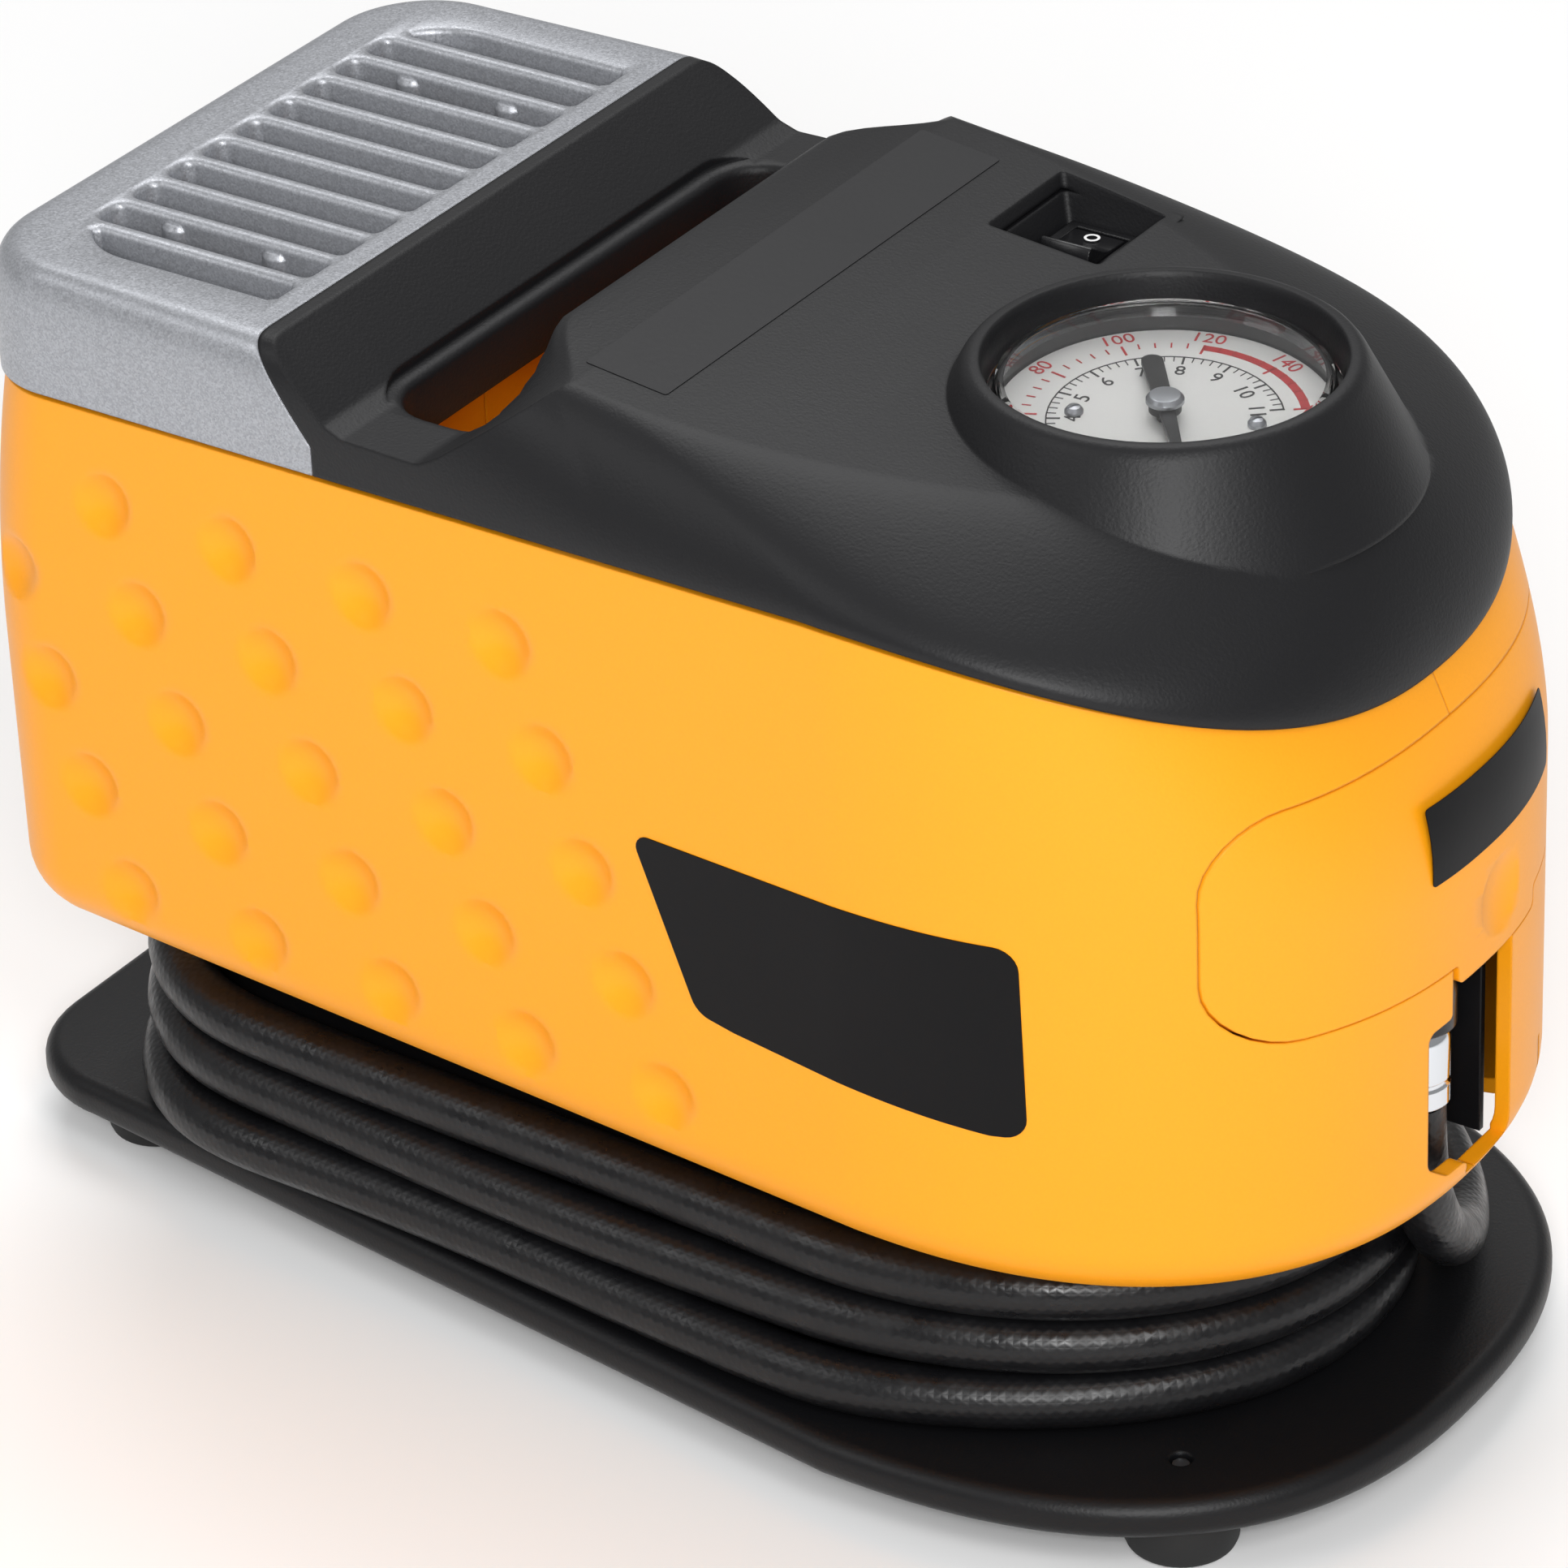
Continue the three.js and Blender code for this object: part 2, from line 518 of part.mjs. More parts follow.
// ---------------------------------------------------------------- gauge
function gaugeCase() {
  const { x, case: radius, dialZ, floor } = GAUGE;
  const rim = dialZ + 3;
  const inner = radius - 1.5;
  const profile = [
    [0, floor], [radius, floor], [radius, rim], [inner, rim], [inner, floor + 1.5], [0, floor + 1.5],
  ];
  return turned(x, 0, profile, 36).subtract(post(x, 0, 150, floor + 5, 4.2, 4.2, 12));
}

function gaugeLens() {
  const { x, case: radius, dialZ } = GAUGE;
  const low = dialZ + 3 + GAP;
  const top = low + 6.5;
  const inner = radius - 2.8;
  const profile = [
    [radius, low], [radius, low + 2], [radius - 1, top], [0, top],
    [0, top - 1.6], [inner, top - 1.6], [inner, low], [radius, low],
  ];
  return turned(x, 0, profile, 30);
}

function gaugeDial() {
  const { x, case: radius, dialZ } = GAUGE;
  const disc = post(x, 0, dialZ - 1, dialZ, radius - 1.9, radius - 1.9, 36);
  return disc.subtract(post(x, 0, 0, 300, 1.4, 1.4, 8));
}

function gaugeNeedle() {
  const { x, dialZ } = GAUGE;
  const shape = new THREE.Shape();
  shape.moveTo(26, -0.35);
  shape.lineTo(26, 0.35);
  shape.lineTo(0, 1.6);
  shape.lineTo(-15, 1.9);
  shape.absarc(-15, 0, 1.9, Math.PI / 2, Math.PI * 1.5);
  shape.lineTo(0, -1.6);
  const blade = extruded(shape, 0.8, 4).rotateZ(THREE.MathUtils.degToRad(NEEDLE_ZERO));
  const low = dialZ + 1.6;
  const hub = [[0, low - 9], [1, low - 9], [1, low], [3, low], [3, low + 2.4], [0, low + 2.8]];
  return solid(blade.translate(x, 0, low)).add(turned(x, 0, hub, 14));
}

function bourdonTube() {
  const points = [];
  for (let i = 0; i <= 12; i += 1) {
    const a = THREE.MathUtils.degToRad(-60 + i * 20);
    points.push([GAUGE.x + 20 * Math.cos(a), 20 * Math.sin(a), 184]);
  }
  return tube(points, 2.4, 16, 6);
}

function gaugeStem() {
  const { x, floor } = GAUGE;
  return post(x, 0, floor - 12, floor + 6, 3.8, 3.8, 12).add(post(x, 0, floor - 8, floor - GAP, 6.5, 6.5, 6));
}

// ---------------------------------------------------------------- switch
function switchBody() {
  const { x, y, body, paddle, depth } = SWITCH;
  const floor = panelZ(x) - depth + GAP;
  const bezel = box(x - body[0] / 2, x + body[0] / 2, y - body[1] / 2, y + body[1] / 2, floor, floor + 1.6);
  const inside = box(x - 7, x + 7, y - 8.5, y + 8.5, floor - 14, floor + 1);
  const halfX = paddle[0] / 2 + GAP;
  const halfY = paddle[1] / 2 + GAP;
  const room = box(x - halfX, x + halfX, y - halfY, y + halfY, floor - 9, floor + 5);
  return bezel.add(inside).subtract(room);
}

// The paddle is wedge-shaped: pressed down at the left end, raised at the right end.
function rockerPaddle() {
  const { x, y, paddle, depth } = SWITCH;
  const z = panelZ(x) - depth + 1.9;
  const h = paddle[1] / 2 - 0.5;
  const points = [
    [h, z + 0.6], [0, z + 0.9], [-h + 1.2, z + 3.6], [-h, z - 0.6], [-h + 2.4, z - 5], [0, z - 6.5], [h - 2, z - 5],
  ];
  const shape = new THREE.Shape(points.map(([u, w]) => new THREE.Vector2(u, w)));
  const geometry = extruded(shape, paddle[0]).rotateX(Math.PI / 2).rotateZ(Math.PI / 2);
  return solid(geometry.translate(x - paddle[0] / 2, y, 0));
}

// ---------------------------------------------------------------- motor, gears and pump
function motorCan() {
  const { y, z, radius, x0, x1 } = MOTOR;
  const inner = rod(x0 - 1, x1 - 3, y, z, radius - 2, radius - 2, 28);
  let can = rod(x0, x1, y, z, radius, radius, 28).subtract(inner);
  for (const a of [45, 135, 225, 315]) {
    const c = Math.cos(THREE.MathUtils.degToRad(a)) * 17;
    const s = Math.sin(THREE.MathUtils.degToRad(a)) * 17;
    can = can.subtract(rod(x1 - 10, x1 + 5, y + c, z + s, 5, 5, 10));
  }
  return can.subtract(rod(x1 - 10, x1 + 5, y, z, 4, 4, 14));
}

function motorEndCap() {
  const { y, z, radius, x0 } = MOTOR;
  const cap = rod(x0 - 6, x0 - GAP, y, z, radius - 2, radius, 28);
  return cap.subtract(rod(x0 - 20, x0 + 5, y, z, 4, 4, 14));
}

function motorShaft() {
  const { y, z, shaft, x1 } = MOTOR;
  return rod(-112, 9.5, y, z, shaft, shaft, 12).add(rod(-80, x1 - 14, y, z, 17, 17, 18));
}

function motorFan() {
  const { y, z, shaft } = MOTOR;
  let fan = rod(-108, -98.5, y, z, 8, 8, 16);
  for (let i = 0; i < 7; i += 1) {
    const blade = new THREE.BoxGeometry(1.6, 9, 20).rotateZ(0.6).translate(0, 0, 17);
    fan = fan.add(solid(blade.rotateX(i * Math.PI * 2 / 7).translate(-103.2, y, z)));
  }
  return fan.subtract(rod(-120, -90, y, z, shaft + GAP, shaft + GAP, 12));
}

function toothed(teeth, x0, x1, y, z, turn) {
  const root = GEAR.module * teeth / 2 - 1.6;
  const tip = GEAR.module * teeth / 2 + 0.9;
  const tooth = [[-0.31, root], [-0.14, tip], [0.14, tip], [0.31, root]];
  const points = [];
  for (let i = 0; i < teeth; i += 1) {
    for (const [at, r] of tooth) {
      const a = (i + at + turn) * Math.PI * 2 / teeth;
      points.push(new THREE.Vector2(r * Math.cos(a), r * Math.sin(a)));
    }
  }
  const geometry = extruded(new THREE.Shape(points), x1 - x0).rotateX(Math.PI / 2).rotateZ(Math.PI / 2);
  return solid(geometry.translate(x0, y, z));
}

function driveGear() {
  const { teeth, x0, x1, y } = GEAR;
  const wheel = toothed(teeth, x0, x1, y, MOTOR.z, 0);
  const bore = rod(x0 - 5, x1 + 5, y, MOTOR.z, GEAR.shaft + GAP, GEAR.shaft + GAP, 14);
  const pinR = CRANK.pin + GAP;
  const pinHole = rod(x0 - 5, x1 + 5, y, MOTOR.z + CRANK.radius, pinR, pinR, 14);
  return wheel.subtract(bore).subtract(pinHole);
}

function pinion() {
  const wheel = toothed(GEAR.pinionTeeth, -1, 9, MOTOR.y, MOTOR.z, 0.5);
  return wheel.subtract(rod(-5, 15, MOTOR.y, MOTOR.z, MOTOR.shaft + GAP, MOTOR.shaft + GAP, 12));
}

const gearShaft = () => rod(-9.5, 9, GEAR.y, MOTOR.z, GEAR.shaft, GEAR.shaft, 14);

function crankPin() {
  return rod(1, CRANK.end, GEAR.y, MOTOR.z + CRANK.radius, CRANK.pin, CRANK.pin, 14);
}

function pumpFrame() {
  const [x0, x1] = FRAME_X;
  const plate = box(x0, x1, -49, 47, 66, 130);
  const shelf = box(x0, 36, -9, 33, 125.6, 130);
  const rib = box(x0, 30, 38.5, 42.5, 100, 130).add(box(x0, 36, 30, 42.5, 125.6, 130));
  const frame = plate.add(shelf).add(rib);
  const shaftHole = rod(-20, 5, MOTOR.y, MOTOR.z, 7, 7, 16);
  const bearingHole = rod(-20, 5, GEAR.y, MOTOR.z, GEAR.bearing + GAP, GEAR.bearing + GAP, 16);
  return frame.subtract(shaftHole).subtract(bearingHole).subtract(box(10.5, 21.5, 4, 20, 120, 140));
}

function gearBearing() {
  const [x0, x1] = FRAME_X;
  const bore = rod(-20, 5, GEAR.y, MOTOR.z, GEAR.shaft + GAP, GEAR.shaft + GAP, 14);
  return rod(x0, x1, GEAR.y, MOTOR.z, GEAR.bearing, GEAR.bearing, 20).subtract(bore);
}

// The connecting rod and its piston cup at top dead centre.
function pistonRod() {
  const { x0, x1, length } = ROD;
  const low = MOTOR.z + CRANK.radius;
  const high = low + length;
  const shank = box(CYL.x - 2.5, CYL.x + 2.5, GEAR.y - 4, GEAR.y + 4, low + 4, high);
  const crown = post(CYL.x, GEAR.y, high - 4, high + 2, CYL.bore - 0.6, CYL.bore - 0.6, 24);
  const eye = rod(x0 - 5, x1 + 5, GEAR.y, low, CRANK.pin + 0.6, CRANK.pin + 0.6, 14);
  return rod(x0, x1, GEAR.y, low, 6.5, 6.5, 18).add(shank).add(crown).subtract(eye);
}

function pistonCup() {
  const low = MOTOR.z + CRANK.radius + ROD.length + 2 + GAP;
  const lip = CYL.bore - 0.5;
  const cup = [[0, low], [lip, low], [lip, low + 5], [lip - 1.2, low + 5], [lip - 2, low + 1.5], [0, low + 1.5]];
  return turned(CYL.x, GEAR.y, cup, 24);
}

// A square flange of the cylinder or its head, with the four bolt holes.
function pumpFlange(z0, z1) {
  const half = CYL.outer - 0.5;
  let flange = box(CYL.x - half, CYL.x + half, GEAR.y - half, GEAR.y + half, z0, z1);
  for (const [u, w] of HEAD_BOLTS) flange = flange.subtract(post(CYL.x + u, GEAR.y + w, 100, 200, 1.9, 1.9, 10));
  return flange;
}

function cylinder() {
  const { x, outer, z0, z1, bore } = CYL;
  let barrel = post(x, GEAR.y, z0, z1, outer - 2.5, outer - 2.5, 20);
  for (let i = 0; i < 3; i += 1) {
    const z = z0 + 8 + i * 10;
    barrel = barrel.add(post(x, GEAR.y, z, z + 3, outer - 0.4, outer - 0.4, 20));
  }
  barrel = barrel.add(pumpFlange(z0, z0 + 3)).add(pumpFlange(z1 - 4, z1));
  return barrel.subtract(post(x, GEAR.y, 100, 200, bore, bore, 24));
}

function cylinderHead() {
  const { x, z1, head } = CYL;
  const boss = box(x - 9, x + 9, GEAR.y - 9, GEAR.y + 9, z1 + 3, head + 1.5);
  const outlet = rod(x + 8, x + 18, GEAR.y, z1 + 6.5, 2.8, 2.8, 12);
  return pumpFlange(z1 + GAP, z1 + 4).add(boss).add(outlet);
}

function headBolt(u, w) {
  const x = CYL.x + u;
  const y = GEAR.y + w;
  return post(x, y, CYL.z1 + 4 + GAP, CYL.z1 + 7, 3, 3, 6).add(post(x, y, CYL.z1 - 4, CYL.z1 + 5, 1.5, 1.5, 8));
}

function manifoldBlock() {
  const { x, y, z } = MANIFOLD;
  return box(x - 7, x + 7, y - 7, y + 7, z - 7, z + 7).add(box(x - 3, x + 3, y - 3, y + 3, z - 12, z - 6));
}

function cordGland() {
  const { y, z, neck, flange } = CORD;
  const outside = rod(-149, BODY.back - GAP, y, z, neck, flange, 16);
  const inside = rod(BODY.back - GAP - 1, -132, y, z, neck, neck, 16);
  const collar = rod(-133.1, -130, y, z, flange, flange, 16);
  return outside.add(inside).add(collar).subtract(rod(-160, -100, y, z, 3.2, 3.2, 12));
}

function cordHole() {
  return rod(-150, -120, CORD.y, CORD.z, CORD.neck + GAP, CORD.neck + GAP, 16);
}

// ---------------------------------------------------------------- assembly
const inflator = new THREE.Group();
inflator.name = "tire_inflator";

function add(name, body, colour) {
  const geometry = body.isBufferGeometry ? body : toGeometry(body);
  const [color, roughness, metalness] = COLOURS[colour];
  const mesh = new THREE.Mesh(geometry, new THREE.MeshStandardMaterial({ color, roughness, metalness }));
  mesh.name = name;
  inflator.add(mesh);
}

add("housing_left", bodyHalf(1), "yellow");
add("housing_right", bodyHalf(-1), "yellow");
add("top_cover", topCover().add(switchPan()), "black");
add("vent_grille", ventGrille(), "silver");
add("accessory_cover", accessoryCover(), "yellow");
add("accessory_tray", accessoryTray(), "black");
add("ball_needle", storedNozzle(-20, BALL_NEEDLE), "chrome");
add("cone_nozzle", storedNozzle(0, CONE_NOZZLE), "nylon");
add("valve_adapter", storedNozzle(20, VALVE_ADAPTER), "brass");

add("base_plate", basePlate(), "black");
add("hose_drum", hoseDrum(), "black");
FEET.forEach(([x, y], i) => {
  add(`foot_${i + 1}`, foot(x, y), "rubber");
  add(`plate_screw_${i + 1}`, plateScrew(x, y), "steel");
});

add("gauge_case", gaugeCase(), "black");
add("gauge_dial", gaugeDial(), "white");
add("gauge_needle", gaugeNeedle(), "black");
add("gauge_lens", gaugeLens(), "clear");
add("bourdon_tube", bourdonTube(), "copper");
add("gauge_stem", gaugeStem(), "brass");

add("switch_body", switchBody(), "black");
add("rocker_paddle", rockerPaddle(), "black");

add("motor_can", motorCan(), "steel");
add("motor_end_cap", motorEndCap(), "black");
add("motor_shaft", motorShaft(), "steel");
add("motor_fan", motorFan(), "nylon");
add("pinion", pinion(), "brass");
add("pump_frame", pumpFrame(), "alloy");
add("gear_bearing", gearBearing(), "brass");
add("drive_gear", driveGear(), "nylon");
add("gear_shaft", gearShaft(), "steel");
add("crank_pin", crankPin(), "steel");
add("piston_rod", pistonRod(), "nylon");
add("piston_cup", pistonCup(), "rubber");
add("cylinder", cylinder(), "alloy");
add("cylinder_head", cylinderHead(), "alloy");
HEAD_BOLTS.forEach(([u, w], i) => add(`head_bolt_${i + 1}`, headBolt(u, w), "steel"));
add("manifold_block", manifoldBlock(), "brass");
add("head_tube", tube(HEAD_TUBE, 2.4, 10, 8), "copper");
add("gauge_tube", tube(GAUGE_TUBE, 2.4, 10, 8), "copper");
add("supply_tube", tube(SUPPLY_TUBE, 3.4, 26, 8), "rubber");
add("cord_gland", cordGland(), "rubber");

add("hose_gland", hoseGland(), "rubber");
add("hose_tail", tube(HOSE_TAIL, HOSE_D / 2, 4), "rubber");
add("hose_coil", hoseCoil(), "rubber");
add("hose_lead", tube(leadPoints(), HOSE_D / 2, 26), "rubber");
add("chuck_body", chuckBody(), "chrome");
add("chuck_collar", chuckCollar(), "black");

export default inflator;
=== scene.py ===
"""Portable tire inflator: the visible pieces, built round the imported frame.

Sizes are in millimetres in the frame's axes: +X to the nose, +Y to the left side, +Z up.
"""

from __future__ import annotations

import json
import logging
import math
from contextlib import contextmanager
from dataclasses import dataclass, field
from enum import Enum
from typing import Callable, Iterator, Sequence

import bpy
from mathutils import Matrix, Quaternion, Vector

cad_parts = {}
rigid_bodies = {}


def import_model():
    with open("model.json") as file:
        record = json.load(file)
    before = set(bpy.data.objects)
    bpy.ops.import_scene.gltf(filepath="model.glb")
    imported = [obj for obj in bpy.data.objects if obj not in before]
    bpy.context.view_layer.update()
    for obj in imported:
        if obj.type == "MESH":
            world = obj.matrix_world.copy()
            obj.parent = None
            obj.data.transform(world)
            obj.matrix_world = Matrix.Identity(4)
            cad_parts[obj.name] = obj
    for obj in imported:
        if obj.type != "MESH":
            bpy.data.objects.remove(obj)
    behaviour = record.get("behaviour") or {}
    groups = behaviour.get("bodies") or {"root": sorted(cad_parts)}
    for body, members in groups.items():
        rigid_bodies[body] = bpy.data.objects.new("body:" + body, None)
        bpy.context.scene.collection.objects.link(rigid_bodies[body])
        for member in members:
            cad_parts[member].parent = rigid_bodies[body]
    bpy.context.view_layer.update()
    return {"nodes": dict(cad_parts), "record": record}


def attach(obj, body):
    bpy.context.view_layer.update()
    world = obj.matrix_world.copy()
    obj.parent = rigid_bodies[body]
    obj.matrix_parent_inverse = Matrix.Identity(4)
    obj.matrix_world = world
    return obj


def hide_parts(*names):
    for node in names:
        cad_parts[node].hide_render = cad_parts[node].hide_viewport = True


LOG = logging.getLogger("tire_inflator")
MM = 0.001
Point2 = tuple[float, float]
Point3 = tuple[float, float, float]
Ring = list[Point3]


class Join(Enum):
    """How one solid is combined with another."""

    ADD = "UNION"
    CUT = "DIFFERENCE"
    KEEP = "INTERSECT"


class Facing(Enum):
    """The plane that an outline is drawn in: seen from above, from the side or from the nose."""

    TOP = (0, 1, 2)
    SIDE = (0, 2, 1)
    NOSE = (1, 2, 0)


# ---------------------------------------------------------------- modelling helpers
def select_only(piece: bpy.types.Object) -> None:
    """Leaves one object selected and active."""
    for other in bpy.context.view_layer.objects:
        other.select_set(False)
    piece.select_set(True)
    bpy.context.view_layer.objects.active = piece


@contextmanager
def editing(piece: bpy.types.Object) -> Iterator[None]:
    """Edit mode on one object, with all of it selected.

    Args:
        piece: the mesh object to edit.
    """
    select_only(piece)
    bpy.ops.object.mode_set(mode="EDIT")
    bpy.ops.mesh.select_mode(type="VERT")
    bpy.ops.mesh.select_all(action="SELECT")
    try:
        yield
    finally:
        bpy.ops.object.mode_set(mode="OBJECT")


def mesh_piece(
    name: str, points: Sequence[Point3], faces: Sequence[Sequence[int]], edges: Sequence[Sequence[int]] = ()
) -> bpy.types.Object:
    """A mesh object from points in millimetres.

    Args:
        name: the object's name.
        points: the vertices.
        faces: vertex numbers of each face.
        edges: vertex numbers of loose edges.

    Returns:
        The new object, at the origin.
    """
    mesh = bpy.data.meshes.new(name)
    mesh.from_pydata([Vector(p) * MM for p in points], edges, faces)
    mesh.update()
    piece = bpy.data.objects.new(name, mesh)
    bpy.context.scene.collection.objects.link(piece)
    return piece


def face_outwards(piece: bpy.types.Object, merge: float = 1e-6) -> bpy.types.Object:
    """Merges doubles and turns every face outwards.

    Args:
        piece: a closed mesh.
        merge: points closer than this, in metres, become one.

    Returns:
        The same object.
    """
    with editing(piece):
        bpy.ops.mesh.remove_doubles(threshold=merge)
        bpy.ops.mesh.normals_make_consistent(inside=False)
    return piece


def across_cap(start: int, count: int) -> list[tuple[int, ...]]:
    """Faces that close a ring which is symmetric about the centre plane, as strips across it."""
    half = count // 2
    faces: list[tuple[int, ...]] = [(start, start + 1, start + count - 1)]
    for i in range(1, half - 1):
        faces.append((start + i, start + i + 1, start + count - i - 1, start + count - i))
    faces.append((start + half - 1, start + half, start + half + 1))
    return faces


def loft(name: str, rings: Sequence[Ring]) -> bpy.types.Object:
    """A closed solid through rings of equal length, capped at both ends.

    Args:
        name: the object's name.
        rings: the rings, each starting at the back centre and running round.

    Returns:
        The solid.
    """
    count = len(rings[0])
    points = [p for ring in rings for p in ring]
    faces: list[tuple[int, ...]] = across_cap(0, count)
    for j in range(len(rings) - 1):
        low, high = j * count, (j + 1) * count
        for i in range(count):
            k = (i + 1) % count
            faces.append((low + i, low + k, high + k, high + i))
    faces += across_cap((len(rings) - 1) * count, count)
    return face_outwards(mesh_piece(name, points, faces))


def prism(name: str, outline: Sequence[Point2], low: float, high: float, facing: Facing) -> bpy.types.Object:
    """An outline extruded square to its plane.

    Args:
        name: the object's name.
        outline: the corners in the plane's two axes.
        low: where the solid starts on the third axis.
        high: where it ends.
        facing: the plane of the outline.

    Returns:
        The solid.
    """
    first, second, third = facing.value
    points = []
    for u, w in outline:
        point = [0.0, 0.0, 0.0]
        point[first], point[second], point[third] = u, w, low
        points.append(tuple(point))
    piece = mesh_piece(name, points, [tuple(range(len(points)))])
    move = [0.0, 0.0, 0.0]
    move[third] = (high - low) * MM
    with editing(piece):
        bpy.ops.mesh.extrude_region_move(TRANSFORM_OT_translate={"value": move})
    return face_outwards(piece)


def turned(
    name: str, profile: Sequence[Point2], centre: Point3, axis: str = "Z", steps: int = 72
) -> bpy.types.Object:
    """A profile of radius and height, spun about an axis.

    Args:
        name: the object's name.
        profile: radius and height pairs, which start and end on the axis or close on themselves.
        centre: where the axis stands, with the height's zero.
        axis: "Z" for a standing piece, "X" for one that lies along X.
        steps: sections in the turn.

    Returns:
        The solid.
    """
    chain = [(i, i + 1) for i in range(len(profile) - 1)]
    piece = mesh_piece(name, [(r, 0, z) for r, z in profile], [], chain)
    with editing(piece):
        bpy.ops.mesh.spin(steps=steps, angle=math.tau, center=(0, 0, 0), axis=(0, 0, 1), use_auto_merge=True)
        bpy.ops.mesh.select_all(action="SELECT")
        bpy.ops.mesh.remove_doubles(threshold=1e-6)
        bpy.ops.mesh.normals_make_consistent(inside=False)
    turn = Matrix.Rotation(math.pi / 2, 4, "Y") if axis == "X" else Matrix.Identity(4)
    piece.data.transform(Matrix.Translation(Vector(centre) * MM) @ turn)
    return piece


def block(name: str, low: Point3, high: Point3, bevel: float = 0.0) -> bpy.types.Object:
    """A box between two corners, with its edges rounded.

    Args:
        name: the object's name.
        low: lowest corner.
        high: highest corner.
        bevel: radius of the edges, or 0 for sharp ones.

    Returns:
        The solid.
    """
    bpy.ops.mesh.primitive_cube_add(size=1)
    piece = bpy.context.object
    piece.name = name
    size = [(b - a) * MM for a, b in zip(low, high)]
    middle = [(b + a) / 2 * MM for a, b in zip(low, high)]
    piece.data.transform(Matrix.Translation(middle) @ Matrix.Diagonal((*size, 1)))
    if bevel:
        with editing(piece):
            bpy.ops.mesh.bevel(offset=bevel * MM, segments=3, affect="EDGES")
    return piece


def combine(piece: bpy.types.Object, tool: bpy.types.Object, how: Join) -> bpy.types.Object:
    """Joins or cuts one solid with another, and removes the tool.

    Args:
        piece: the solid that is changed.
        tool: the other solid.
        how: the kind of join.

    Returns:
        The changed solid.
    """
    select_only(piece)
    modifier = piece.modifiers.new("combine", "BOOLEAN")
    modifier.operation = how.value
    modifier.solver = "MANIFOLD"
    modifier.object = tool
    bpy.ops.object.modifier_apply(modifier=modifier.name)
    bpy.data.objects.remove(tool)
    return piece


def soften(
    piece: bpy.types.Object, near: Callable[[Vector], bool], width: float, segments: int = 3,
        sharper: float = 35
) -> None:
    """Rounds the sharp edges that a test picks out.

    Args:
        piece: the solid.
        near: says whether a point in millimetres lies on an edge to round.
        width: size of the rounding.
        segments: steps in it.
        sharper: only edges that turn by more than this many degrees.
    """
    with editing(piece):
        bpy.ops.mesh.select_mode(type="EDGE")
        bpy.ops.mesh.select_all(action="DESELECT")
        bpy.ops.mesh.edges_select_sharp(sharpness=math.radians(sharper))
    mesh = piece.data
    flags = [e.select and all(near(mesh.vertices[v].co / MM) for v in e.vertices) for e in mesh.edges]
    mesh.polygons.foreach_set("select", [False] * len(mesh.polygons))
    mesh.vertices.foreach_set("select", [False] * len(mesh.vertices))
    mesh.edges.foreach_set("select", flags)
    select_only(piece)
    bpy.ops.object.mode_set(mode="EDIT")
    bpy.ops.mesh.bevel(offset=width * MM, segments=segments, affect="EDGES", clamp_overlap=True)
    bpy.ops.object.mode_set(mode="OBJECT")


def offset_outline(outline: Sequence[Point2], distance: float) -> list[Point2]:
    """An outline moved outwards by a distance."""
    count = len(outline)
    area = sum(outline[i - 1][0] * outline[i][1] - outline[i][0] * outline[i - 1][1] for i in range(count))
    side = 1 if area > 0 else -1
    moved = []
    for i, (u, w) in enumerate(outline):
        before = (Vector((u, w)) - Vector(outline[i - 1])).normalized()
        after = (Vector(outline[(i + 1) % count]) - Vector((u, w))).normalized()
        along = (before + after).normalized()
        scale = distance / max(0.5, math.sqrt(max(0.0, (1 + before.dot(after)) / 2)))
        moved.append((u + along.y * side * scale, w - along.x * side * scale))
    return moved


def flared(name: str, outline: Sequence[Point2], levels: Sequence[Point2]) -> bpy.types.Object:
    """A standing solid whose outline grows from level to level.

    Args:
        name: the object's name.
        outline: the outline seen from above.
        levels: height and growth pairs, from the bottom up.

    Returns:
        The solid.
    """
    return stacked(name, [[(u, w, z) for u, w in offset_outline(outline, grow)] for z, grow in levels])


def stacked(name: str, rings: Sequence[Ring]) -> bpy.types.Object:
    """A closed solid through rings of equal length, with plain caps.

    Args:
        name: the object's name.
        rings: the rings in order.

    Returns:
        The solid.
    """
    count = len(rings[0])
    faces: list[tuple[int, ...]] = [tuple(range(count)),
        tuple(range(count * (len(rings) - 1), count * len(rings)))]
    for j in range(len(rings) - 1):
        low, high = j * count, (j + 1) * count
        faces += [(low + i, low + (i + 1) % count, high + (i + 1) % count, high + i) for i in range(count)]
    return face_outwards(mesh_piece(name, [p for ring in rings for p in ring], faces))


def join_pieces(name: str, parts: Sequence[bpy.types.Object]) -> bpy.types.Object:
    """Joins several meshes into one object.

    Args:
        name: the name of the result.
        parts: the meshes.

    Returns:
        The joined object.
    """
    select_only(parts[0])
    for part in parts[1:]:
        part.select_set(True)
    bpy.ops.object.join()
    parts[0].name = name
    return parts[0]


